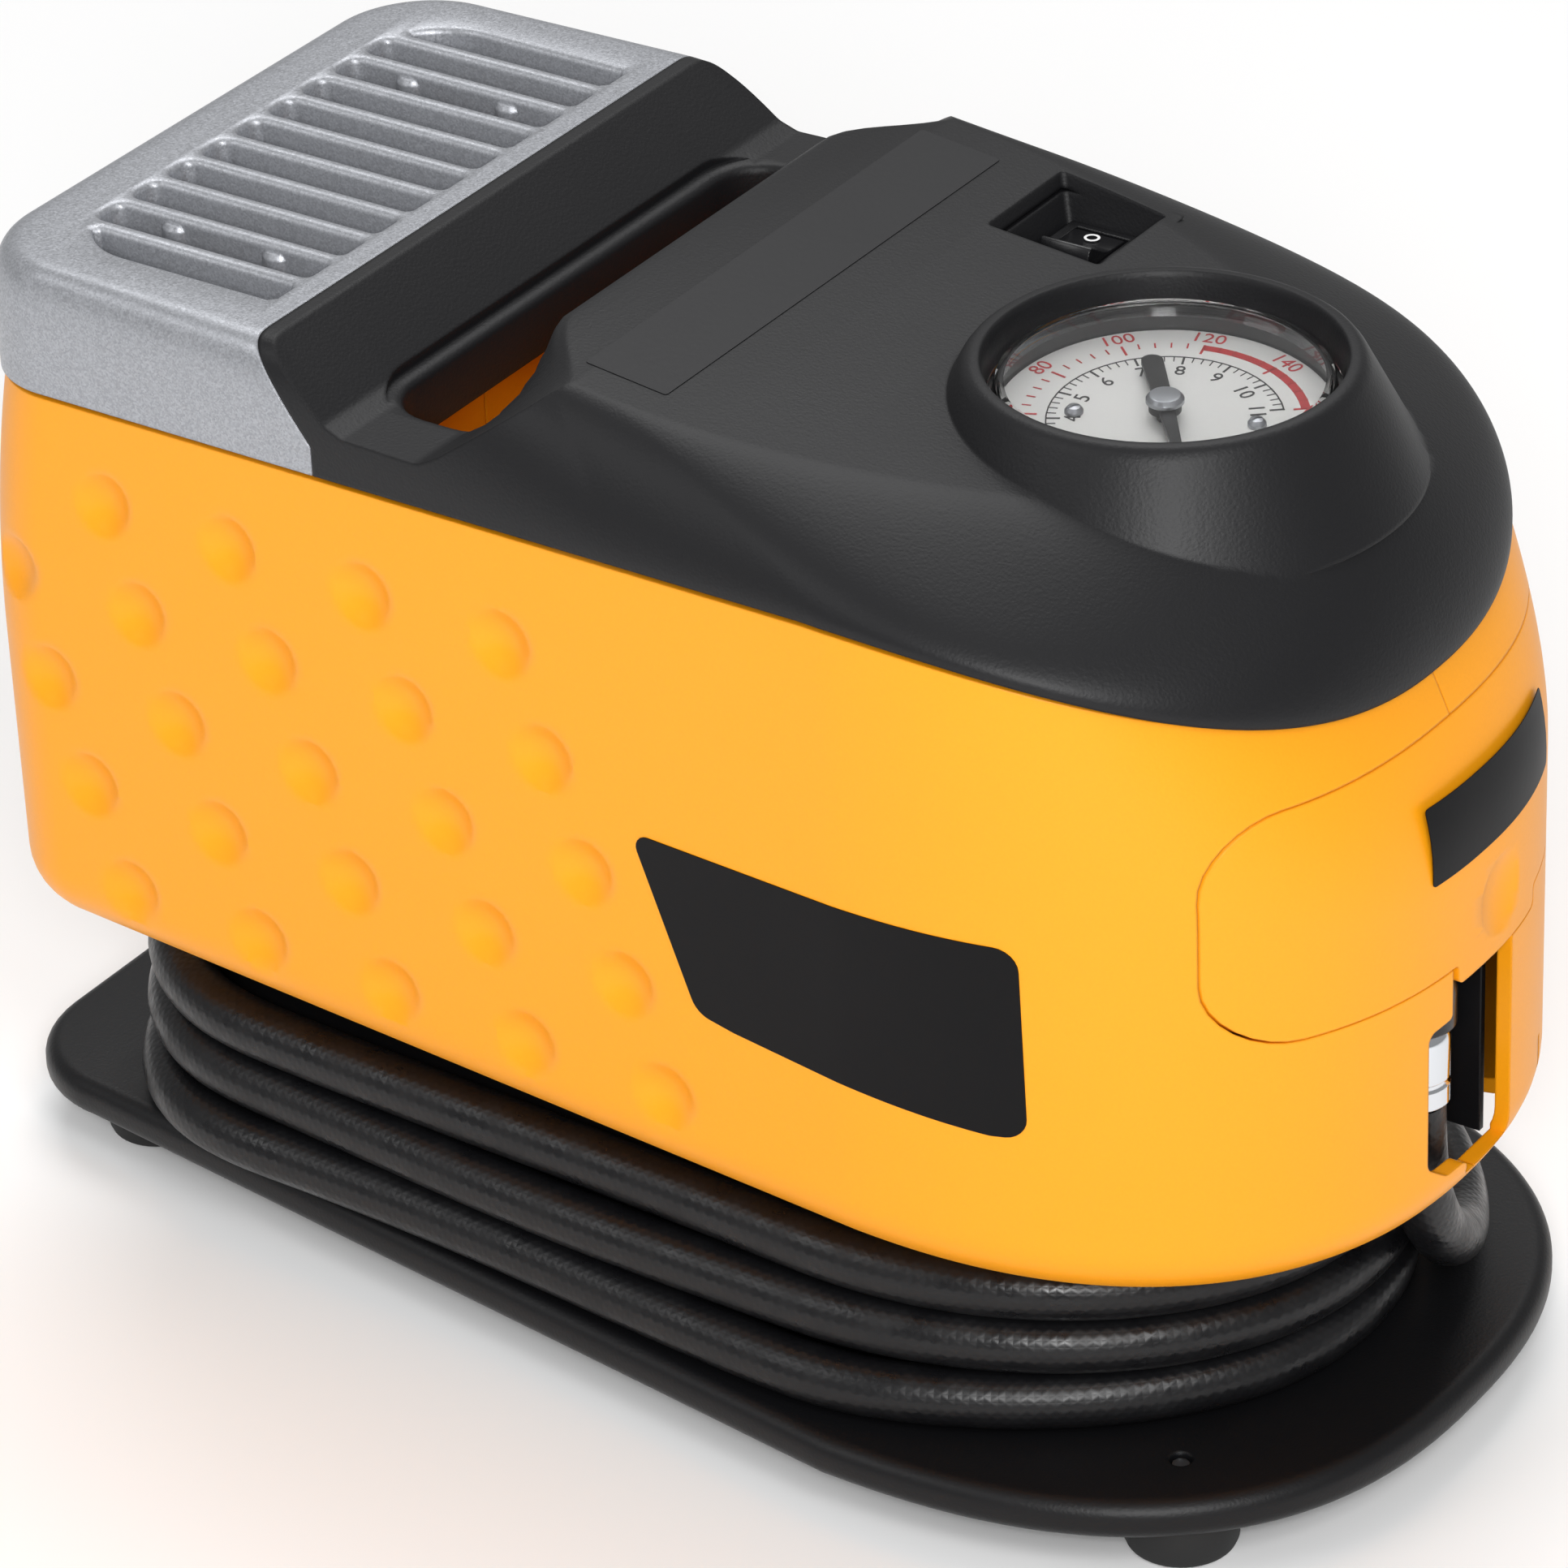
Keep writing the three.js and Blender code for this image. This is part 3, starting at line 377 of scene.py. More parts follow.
def filleted(points: Sequence[Point2], radii: float | Sequence[float], steps: int = 6) -> list[Point2]:
    """A polygon with its corners rounded by arcs.

    Args:
        points: the corners.
        radii: one radius for all corners, or one for each.
        steps: segments in each arc.

    Returns:
        The rounded outline.
    """
    count = len(points)
    sizes = [radii] * count if isinstance(radii, (int, float)) else list(radii)
    outline: list[Point2] = []
    for i, (corner, radius) in enumerate(zip(points, sizes)):
        here = Vector(corner)
        back = (Vector(points[i - 1]) - here).normalized()
        ahead = (Vector(points[(i + 1) % count]) - here).normalized()
        half = back.angle(ahead) / 2
        if radius <= 0 or abs(math.pi / 2 - half) < 0.02:
            outline.append(tuple(here))
            continue
        reach = radius / math.tan(half)
        middle = here + (back + ahead).normalized() * (radius / math.sin(half))
        start, end = here + back * reach - middle, here + ahead * reach - middle
        sweep = start.angle_signed(end)
        for k in range(steps + 1):
            turn = -sweep * k / steps
            c, s = math.cos(turn), math.sin(turn)
            outline.append((middle.x + start.x * c - start.y * s, middle.y + start.x * s + start.y * c))
    return outline


# ---------------------------------------------------------------- the moulded shape
def blend(a: float, b: float, t: float) -> float:
    """A value between a and b."""
    return a + (b - a) * t


def clamp(value: float, low: float = 0.0, high: float = 1.0) -> float:
    """A value kept between two limits."""
    return max(low, min(high, value))


@dataclass(frozen=True)
class Plan:
    """An outline seen from above: a flat back, round corners, straight sides and a power-curve nose."""

    back: float
    tip: float
    corner: float
    side: float
    slope: float
    nose: float
    power: float

    def half(self, x: float, inset: float = 0.0) -> float:
        """Half the width at x on the straight sides."""
        return self.side + self.slope * x - inset

    def nose_x(self, y: float, inset: float = 0.0, tip_inset: float = 0.0) -> float:
        """X of the nose at a distance y from the centre plane."""
        share = clamp(abs(y) / self.half(self.nose, inset))
        return self.nose + (self.tip - tip_inset - self.nose) * (1 - share**self.power) ** (1 / self.power)

    def side_y(self, x: float, inset: float = 0.0) -> float:
        """Half the width at any x ahead of the back corners."""
        if x <= self.nose:
            return self.half(x, inset)
        share = clamp((x - self.nose) / (self.tip - inset - self.nose))
        return self.half(self.nose, inset) * (1 - share**self.power) ** (1 / self.power)

    def ring(self, grain: Grain, inset: float, back_inset: float, tip_inset: float) -> list[Point2]:
        """The outline from the back centre round to the nose and home.

        Args:
            grain: how finely each stretch is divided.
            inset: how far the sides lie inside the outline.
            back_inset: the same for the back.
            tip_inset: the same for the nose.

        Returns:
            The points, symmetric about the centre plane.
        """
        back = self.back + back_inset
        tip = self.tip - tip_inset
        radius = max(self.corner - inset, 2.0)
        right: list[Point2] = []
        flat = self.half(back + radius, inset) - radius
        right += [(back, -flat * i / grain.back) for i in range(1, grain.back)]
        for i in range(grain.corner + 1):
            a = i / grain.corner * math.pi / 2
            right.append((back + radius - radius * math.cos(a), -(flat + radius * math.sin(a))))
        spans = [(back + radius, TROUGH_BACK, grain.rear), (TROUGH_BACK, TROUGH_FRONT, grain.trough)]
        spans.append((TROUGH_FRONT, self.nose, grain.fore))
        for start, end, steps in spans:
            for i in range(1, steps + 1):
                x = blend(start, end, i / steps)
                right.append((x, -self.half(x, inset)))
        for i in range(1, grain.nose):
            a = math.pi / 2 * (1 - i / grain.nose)
            x = self.nose + (tip - self.nose) * math.cos(a) ** (2 / self.power)
            right.append((x, -self.half(self.nose, inset) * math.sin(a) ** (2 / self.power)))
        left = [(x, -y) for x, y in reversed(right)]
        return [(back, 0.0), *right, (tip, 0.0), *left]


@dataclass(frozen=True)
class Grain:
    """How many steps each stretch of an outline has."""

    back: int
    corner: int
    rear: int
    trough: int
    fore: int
    nose: int


TROUGH_BACK = -61.0
TROUGH_FRONT = -14.0
FINE = Grain(40, 22, 44, 38, 62, 64)
MEDIUM = Grain(12, 12, 14, 14, 20, 40)
BODY = Plan(-136.5, 150, 20, 72.5, 0.047, 64.5, 2.25)
PANEL = Plan(-119.5, 121, 14, 59.8, -0.01, 10, 1.7)
PLATE = Plan(-150.5, 150.5, 24, 72, 0.128, 60, 2.45)
COIL = Plan(-127, 125.5, 46, 57.5, 0.047, 50, 2.1)

GAP = 0.3
WALL = 3.0
BODY_CURL = 12.0
COVER_LIP = 0.8
SHOULDER_GAP = 1.4
GRILLE_TOP = 203.2
SEAM = [(-60.2, 203.2), (-46.1, 186.4), (-46.1, 150.0)]


def underside(x: float) -> float:
    """Height of the body's floor at x."""
    return 58.5 - 0.024 * x


def panel_z(x: float) -> float:
    """Height of the sloping top panel at x."""
    return 206.6 - 0.118 * (x - 10.4)


def shoulder_z(x: float) -> float:
    """Height of the line where the body meets its covers."""
    rise = 179.5 + 0.035 * (min(x, 60.0) + 45)
    return rise - 21 * ((x - 60) / 78) ** 2.2 if x > 60 else rise


def nose_lean(z: float) -> float:
    """How far the nose has leaned back at height z."""
    return 12 * (max(0.0, z - 130) / 33) ** 2


def back_lean(z: float) -> float:
    """How far the back has leaned forward at height z."""
    return 7 * (max(0.0, z - 120) / 58) ** 2


def wall_point(y: float, z: float, proud: float = 0.0) -> Point3:
    """A point on the nose wall, or proud of it."""
    return BODY.nose_x(y, 0, nose_lean(z)) + proud, y, z


def ahead_of_seam(offset: float) -> bpy.types.Object:
    """The region in front of the seam between the grille and the top cover."""
    edge = [(x + offset, z) for x, z in SEAM]
    lean = (SEAM[0][0] - SEAM[1][0]) / (SEAM[0][1] - SEAM[1][1])
    high = (SEAM[0][0] + offset + lean * 20, SEAM[0][1] + 20)
    outline = [high, *edge, (300, SEAM[2][1]), (300, high[1])]
    return prism("seam_region", outline, -200, 200, Facing.SIDE)


def rounded_box(x0: float, x1: float, half_y: float, radius: float, steps: int = 8) -> list[Point2]:
    """A rectangle with round corners, centred across the body."""
    return filleted([(x0, -half_y), (x1, -half_y), (x1, half_y), (x0, half_y)], radius, steps)


# ---------------------------------------------------------------- finishes
def srgb(colour: str) -> tuple[float, float, float, float]:
    """Turns an sRGB hex colour into linear values."""
    values = [int(colour[i : i + 2], 16) / 255 for i in (0, 2, 4)]
    linear = [v / 12.92 if v <= 0.04045 else ((v + 0.055) / 1.055) ** 2.4 for v in values]
    return (*linear, 1.0)


def add_node(tree: bpy.types.NodeTree, kind: str, settings: dict | None = None, inputs: dict | None = None):
    """Adds a shader node, sets it and links it.

    Args:
        tree: the material's nodes.
        kind: the node's type.
        settings: its properties.
        inputs: a value or an output socket for each input, by name or number.

    Returns:
        The node.
    """
    node = tree.nodes.new(kind)
    for key, value in (settings or {}).items():
        setattr(node, key, value)
    for key, value in (inputs or {}).items():
        if isinstance(value, bpy.types.NodeSocket):
            tree.links.new(value, node.inputs[key])
        else:
            node.inputs[key].default_value = value
    return node


@dataclass(frozen=True)
class Finish:
    """A surface as its maker would name it."""

    name: str
    colour: str
    roughness: float
    metallic: float = 0.0
    ior: float = 1.5

    def material(self) -> bpy.types.Material:
        """The material, made once and then shared."""
        found = bpy.data.materials.get(self.name)
        if found:
            return found
        material = bpy.data.materials.new(self.name)
        material.use_nodes = True
        tree = material.node_tree
        shader = next(n for n in tree.nodes if n.type == "BSDF_PRINCIPLED")
        shader.inputs["Base Color"].default_value = srgb(self.colour)
        shader.inputs["Roughness"].default_value = self.roughness
        shader.inputs["Metallic"].default_value = self.metallic
        if self.metallic < 0.5:
            shader.inputs["IOR"].default_value = self.ior
        self.dress(tree, shader)
        return material

    def dress(self, tree: bpy.types.NodeTree, shader: bpy.types.Node) -> None:
        """Adds the pattern of the surface to the plain shader."""

    def place(self, tree: bpy.types.NodeTree):
        """The socket of a point's place on the piece, in metres."""
        return add_node(tree, "ShaderNodeTexCoord").outputs["Object"]


@dataclass(frozen=True)
class MouldedPlastic(Finish):
    """Injection-moulded plastic: a spark-eroded grain, soft corners and a slightly uneven sheen."""

    grain: float = 0.6  # millimetres across one grain
    depth: float = 0.02  # millimetres deep
    corner: float = 0.5  # radius of the mould's corners in millimetres

    def dress(self, tree: bpy.types.NodeTree, shader: bpy.types.Node) -> None:
        """Grain on two scales, a drifting sheen and a little drift in the colour."""
        place = self.place(tree)
        fine = {"Vector": place, "Scale": 1 / (self.grain * MM), "Detail": 3.0, "Roughness": 0.55}
        grain = add_node(tree, "ShaderNodeTexNoise", None, fine)
        cells = {"Vector": place, "Scale": 0.7 / (self.grain * MM)}
        pebble = add_node(tree, "ShaderNodeTexVoronoi", {"feature": "SMOOTH_F1"}, cells)
        both = {0: grain.outputs["Fac"], 1: pebble.outputs["Distance"]}
        height = add_node(tree, "ShaderNodeMath", {"operation": "ADD"}, both)
        edge = add_node(tree, "ShaderNodeBevel", {"samples": 4}, {"Radius": self.corner * MM})
        relief = {"Height": height.outputs[0], "Distance": self.depth * MM, "Normal": edge.outputs[0]}
        bump = add_node(tree, "ShaderNodeBump", None, relief)
        tree.links.new(bump.outputs["Normal"], shader.inputs["Normal"])
        broad = add_node(tree, "ShaderNodeTexNoise", None, {"Vector": place, "Scale": 24.0, "Detail": 2.0})
        span = {0: broad.outputs["Fac"], 3: self.roughness - 0.05, 4: self.roughness + 0.05}
        sheen = add_node(tree, "ShaderNodeMapRange", None, span)
        tree.links.new(sheen.outputs[0], shader.inputs["Roughness"])
        tint = {6: srgb(self.colour), 7: tuple(c * 0.93 for c in srgb(self.colour)[:3]) + (1.0,)}
        tint[0] = grain.outputs["Fac"]
        colour = add_node(tree, "ShaderNodeMix", {"data_type": "RGBA"}, tint)
        tree.links.new(colour.outputs[2], shader.inputs["Base Color"])


@dataclass(frozen=True)
class SpecklePaint(Finish):
    """Aluminium-flake paint sprayed on plastic: light and dark specks in a satin silver."""

    fleck: float = 0.34  # millimetres across one fleck

    def dress(self, tree: bpy.types.NodeTree, shader: bpy.types.Node) -> None:
        """Flecks that differ in colour and gloss, over a faint orange peel."""
        place = self.place(tree)
        cells = {"Vector": place, "Scale": 1 / (self.fleck * MM)}
        flecks = add_node(tree, "ShaderNodeTexVoronoi", None, cells)
        grey = add_node(tree, "ShaderNodeSeparateColor", None, {0: flecks.outputs["Color"]})
        base = srgb(self.colour)
        ramp = add_node(tree, "ShaderNodeValToRGB", None, {0: grey.outputs[0]})
        stops = ramp.color_ramp.elements
        stops[0].position, stops[0].color = 0.0, tuple(c * 0.85 for c in base[:3]) + (1.0,)
        stops[1].position, stops[1].color = 1.0, tuple(min(1.0, c * 1.18) for c in base[:3]) + (1.0,)
        middle = stops.new(0.5)
        middle.color = base
        tree.links.new(ramp.outputs[0], shader.inputs["Base Color"])
        span = {0: grey.outputs[1], 3: self.roughness - 0.1, 4: self.roughness + 0.12}
        gloss = add_node(tree, "ShaderNodeMapRange", None, span)
        tree.links.new(gloss.outputs[0], shader.inputs["Roughness"])
        peel = add_node(tree, "ShaderNodeTexNoise", None, {"Vector": place, "Scale": 900.0, "Detail": 2.0})
        edge = add_node(tree, "ShaderNodeBevel", {"samples": 4}, {"Radius": 0.7 * MM})
        relief = {"Height": peel.outputs["Fac"], "Distance": 0.02 * MM, "Normal": edge.outputs[0]}
        bump = add_node(tree, "ShaderNodeBump", None, relief)
        tree.links.new(bump.outputs["Normal"], shader.inputs["Normal"])


@dataclass(frozen=True)
class WrappedHose(Finish):
    """Hose rubber cured in a cloth wrap: the weave leaves crossed ridges, and handling wears it shiny."""

    pitch: float = 1.7  # millimetres between ridges, coarser than the real cloth so that it shows
    girth: float = math.pi * 11

    def dress(self, tree: bpy.types.NodeTree, shader: bpy.types.Node) -> None:
        """Ridges both ways along the hose, from its own UV map."""
        where = add_node(tree, "ShaderNodeTexCoord").outputs["UV"]
        split = add_node(tree, "ShaderNodeSeparateXYZ", None, {0: where})
        ridges = []
        for way in (1.0, -1.0):
            turns = {0: split.outputs[1], 1: way, 2: split.outputs[0]}
            lean = add_node(tree, "ShaderNodeMath", {"operation": "MULTIPLY_ADD"}, turns)
            rate = math.tau * round(self.girth / self.pitch / math.sqrt(2))
            scaled = add_node(tree, "ShaderNodeMath", {"operation": "MULTIPLY"},
                {0: lean.outputs[0], 1: rate})
            ridges.append(add_node(tree, "ShaderNodeMath", {"operation": "SINE"}, {0: scaled.outputs[0]}))
        pair = {0: ridges[0].outputs[0], 1: ridges[1].outputs[0]}
        weave = add_node(tree, "ShaderNodeMath", {"operation": "MAXIMUM"}, pair)
        blotch = add_node(tree, "ShaderNodeTexNoise", None,
            {"Vector": self.place(tree), "Scale": 160.0, "Detail": 4.0})
        mixed = {0: blotch.outputs["Fac"], 1: 1.6, 2: weave.outputs[0]}
        height = add_node(tree, "ShaderNodeMath", {"operation": "MULTIPLY_ADD"}, mixed)
        bump = add_node(tree, "ShaderNodeBump", None, {"Height": height.outputs[0], "Distance": 0.02 * MM})
        tree.links.new(bump.outputs["Normal"], shader.inputs["Normal"])
        span = {0: blotch.outputs["Fac"], 1: 0.3, 2: 0.7, 3: self.roughness - 0.12, 4: self.roughness + 0.12}
        wear = add_node(tree, "ShaderNodeMapRange", None, span)
        tree.links.new(wear.outputs[0], shader.inputs["Roughness"])


@dataclass(frozen=True)
class WorkedMetal(Finish):
    """Bare or plated metal with fine tool marks."""

    mark: float = 0.3  # millimetres between tool marks
    depth: float = 0.004

    def dress(self, tree: bpy.types.NodeTree, shader: bpy.types.Node) -> None:
        """Rings of tool marks across the height, and stains in the gloss."""
        place = self.place(tree)
        stretch = add_node(tree, "ShaderNodeMapping", None, {"Vector": place, "Scale": (0.08, 0.08, 1.0)})
        rings = {"Vector": stretch.outputs[0], "Scale": 1 / (self.mark * MM), "Detail": 2.0}
        marks = add_node(tree, "ShaderNodeTexNoise", None, rings)
        edge = add_node(tree, "ShaderNodeBevel", {"samples": 4}, {"Radius": 0.25 * MM})
        relief = {"Height": marks.outputs["Fac"], "Distance": self.depth * MM, "Normal": edge.outputs[0]}
        bump = add_node(tree, "ShaderNodeBump", None, relief)
        tree.links.new(bump.outputs["Normal"], shader.inputs["Normal"])
        stain = add_node(tree, "ShaderNodeTexNoise", None, {"Vector": place, "Scale": 110.0, "Detail": 4.0})
        low = max(0.03, self.roughness - 0.06)
        gloss = add_node(tree, "ShaderNodeMapRange", None,
            {0: stain.outputs["Fac"], 3: low, 4: self.roughness + 0.06})
        tree.links.new(gloss.outputs[0], shader.inputs["Roughness"])


@dataclass(frozen=True)
class ClearMoulding(Finish):
    """Clear acrylic, polished by its mould."""

    def dress(self, tree: bpy.types.NodeTree, shader: bpy.types.Node) -> None:
        """Lets light through."""
        shader.inputs["Transmission Weight"].default_value = 1.0


# Each finish starts from the real material, and its comment says what that gives the eye. Indexes of
# refraction below the real plastics' 1.5 were lowered, to hold back the sheen of grained surfaces.

# Through-coloured ABS from a spark-eroded mould: a warm yellow with wide, soft highlights.
YELLOW_ABS = MouldedPlastic("yellow_abs", "F8A00E", 0.40, ior=1.42, grain=0.55, depth=0.014, corner=0.6)
# Black ABS with a leather-like mould grain: it reads as matt, with broken highlights.
GRAINED_ABS = MouldedPlastic("black_grained_abs", "161618", 0.46, ior=1.36, grain=0.45, depth=0.035,
    corner=0.9)
# Black ABS from a polished mould: tight highlights, which set small parts off from the cover.
GLOSS_ABS = MouldedPlastic("black_gloss_abs", "131315", 0.24, grain=0.4, depth=0.004, corner=0.4)
# Black ABS with a finer grain: darker than the cover, with an even satin sheen.
SATIN_ABS = MouldedPlastic("black_satin_abs", "0F0F11", 0.38, ior=1.36, grain=0.6, depth=0.015, corner=0.5)
# Black ABS in a plain grain: it stays nearly black, and catches light only on its edges.
BASE_ABS = MouldedPlastic("black_base_abs", "0E0E10", 0.42, ior=1.36, grain=0.45, depth=0.03, corner=0.9)
# Aluminium-flake paint over plastic: grey with a fine sparkle, between plastic and metal.
SILVER_PAINT = SpecklePaint("silver_flake_paint", "A2A4A9", 0.38, 0.55)
# Filled rubber: dark and dull, with almost no highlight.
SOFT_RUBBER = MouldedPlastic("soft_rubber", "141414", 0.62, grain=0.5, depth=0.02, corner=0.5)
# Rubber cured in cloth and worn by handling: long highlights, broken up by the weave.
HOSE_RUBBER = WrappedHose("wrapped_hose_rubber", "101012", 0.36, ior=1.42)
# Vinyl film: flatter and blacker than the plastic round it.
VINYL = MouldedPlastic("black_vinyl_film", "08080A", 0.45, ior=1.25, grain=0.9, depth=0.006, corner=0.1)
# Film label: close to the cover's black, and told from it mainly by its sheen.
CLEAR_FILM = MouldedPlastic("label_film", "1A1A1C", 0.40, ior=1.36, grain=0.9, depth=0.01, corner=0.1)
# Chrome plate: close to a mirror, with bright rings.
CHROME = WorkedMetal("chrome_plate", "D9DCE0", 0.09, 1.0)
# Zinc-plated steel: grey, with blurred reflections.
STEEL = WorkedMetal("zinc_plated_steel", "A9ACB1", 0.32, 1.0)
# Turned brass: yellow metal with fine tool rings.
BRASS = WorkedMetal("turned_brass", "C2A054", 0.28, 1.0)
# Drawn copper: red metal with a soft sheen.
COPPER = WorkedMetal("drawn_copper", "B8704A", 0.30, 1.0)
# Die-cast alloy: dull and coarse beside the turned metals.
CAST_ALLOY = WorkedMetal("die_cast_alloy", "9DA0A4", 0.48, 1.0, mark=0.8, depth=0.02)
# Uncoloured nylon: ivory, with a waxy sheen.
NYLON = MouldedPlastic("natural_nylon", "DCD8CB", 0.42, grain=0.7, depth=0.01, corner=0.3)
# White enamel: bright and even, so that the print on it is easy to read.
DIAL_CARD = MouldedPlastic("dial_enamel", "F4F4F1", 0.45, grain=0.5, depth=0.002, corner=0.1)
# Printed inks: flat colour with no relief of their own.
RED_INK = MouldedPlastic("red_ink", "D3262B", 0.5, grain=0.5, depth=0.002, corner=0.05)
BLACK_INK = MouldedPlastic("black_ink", "1A1A1A", 0.5, grain=0.5, depth=0.002, corner=0.05)
WHITE_INK = MouldedPlastic("white_ink", "EDEDED", 0.5, grain=0.5, depth=0.002, corner=0.05)
# Clear acrylic: seen by its edge and its reflections. Its index is below the real 1.49 as well.
LENS_ACRYLIC = ClearMoulding("clear_acrylic", "FFFFFF", 0.02, 0.0, 1.36)

SLOT_FINISH = {
    "yellow_plastic": YELLOW_ABS,
    "silver_paint": SILVER_PAINT,
    "black_plastic": GRAINED_ABS,
    "gloss_black": GLOSS_ABS,
    "foot_rubber": SOFT_RUBBER,
    "hose_rubber": SOFT_RUBBER,
    "steel": STEEL,
    "chrome": CHROME,
    "brass": BRASS,
    "copper": COPPER,
    "alloy": CAST_ALLOY,
    "dial_white": DIAL_CARD,
    "clear_lens": LENS_ACRYLIC,
    "nylon": NYLON,
}


@dataclass
class Fitting:
    """How a finished piece joins the frame."""

    finish: Finish
    slot: str
    body: str = "root"
    nodes: tuple[str, ...] = ()
    smooth: float = 32.0

    def fit(self, piece: bpy.types.Object) -> bpy.types.Object:
        """Dresses a piece, puts it on its body and hides the nodes that it stands for.

        Args:
            piece: the finished mesh.

        Returns:
            The same piece.
        """
        piece.data.materials.clear()
        piece.data.materials.append(self.finish.material())
        select_only(piece)
        bpy.ops.object.shade_smooth_by_angle(angle=math.radians(self.smooth))
        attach(piece, self.body)
        if self.nodes:
            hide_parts(*self.nodes)
        LOG.info("%s: %d faces on %s", piece.name, len(piece.data.polygons), self.body)
        return piece


# ---------------------------------------------------------------- studio
@dataclass
class Studio:
    """Camera, lights and floor."""

    target: Point3 = (2.1, 0.0, 96.0)
    distance: float = 1353.1
    azimuth: float = 35.4
    elevation: float = 30.73
    roll: float = -2.42
    lens: float = 167.75

    def camera(self) -> None:
        """Places the camera on its line of sight to the target."""
        a, e = math.radians(self.azimuth), math.radians(self.elevation)
        back = Vector((math.sin(a) * math.cos(e), -math.cos(a) * math.cos(e), math.sin(e)))
        data = bpy.data.cameras.new("camera")
        data.lens = self.lens
        data.sensor_width = 36
        data.clip_start, data.clip_end = 0.01, 20
        camera = bpy.data.objects.new("camera", data)
        camera.location = (Vector(self.target) + back * self.distance) * MM
        camera.rotation_mode = "QUATERNION"
        level = (-back).to_track_quat("-Z", "Y")
        camera.rotation_quaternion = level @ Quaternion((0, 0, 1), math.radians(self.roll))
        bpy.context.scene.collection.objects.link(camera)
        bpy.context.scene.camera = camera

    def softbox(self, name: str, place: Point3, size: Point2, power: float) -> None:
        """A rectangular light in metres that faces the object."""
        data = bpy.data.lights.new(name, "AREA")
        data.shape = "RECTANGLE"
        data.size, data.size_y = size
        data.energy = power
        light = bpy.data.objects.new(name, data)
        light.location = place
        light.rotation_mode = "QUATERNION"
        light.rotation_quaternion = (Vector((0, 0, 0.1)) - Vector(place)).to_track_quat("-Z", "Y")
        bpy.context.scene.collection.objects.link(light)

    def floor(self) -> None:
        """A pale floor that fades into the background."""
        bpy.ops.mesh.primitive_plane_add(size=14)
        floor = bpy.context.object
        floor.name = "studio_floor"
        material = bpy.data.materials.new("studio_floor")
        material.use_nodes = True
        shader = next(n for n in material.node_tree.nodes if n.type == "BSDF_PRINCIPLED")
        shader.inputs["Base Color"].default_value = srgb("F5F5F5")
        shader.inputs["Roughness"].default_value = 0.85
        floor.data.materials.append(material)

    def build(self) -> None:
        """Sets up the studio."""
        self.camera()
        self.floor()
        self.softbox("key_light", (1.1, -0.8, 1.4), (0.6, 0.6), 9)
        self.softbox("front_light", (0.76, -1.08, 0.86), (0.35, 0.3), 12)
        self.softbox("side_light", (-0.8, -1.2, 1.3), (0.8, 0.8), 5)
        self.softbox("top_light", (-0.5, 0.9, 1.9), (1.6, 1.0), 22)
        world = bpy.data.worlds.new("studio")
        world.use_nodes = True
        background = next(n for n in world.node_tree.nodes if n.type == "BACKGROUND")
        background.inputs["Color"].default_value = srgb("FFFFFF")
        background.inputs["Strength"].default_value = 0.36
        bpy.context.scene.world = world
        bpy.context.scene.view_settings.view_transform = "Standard"


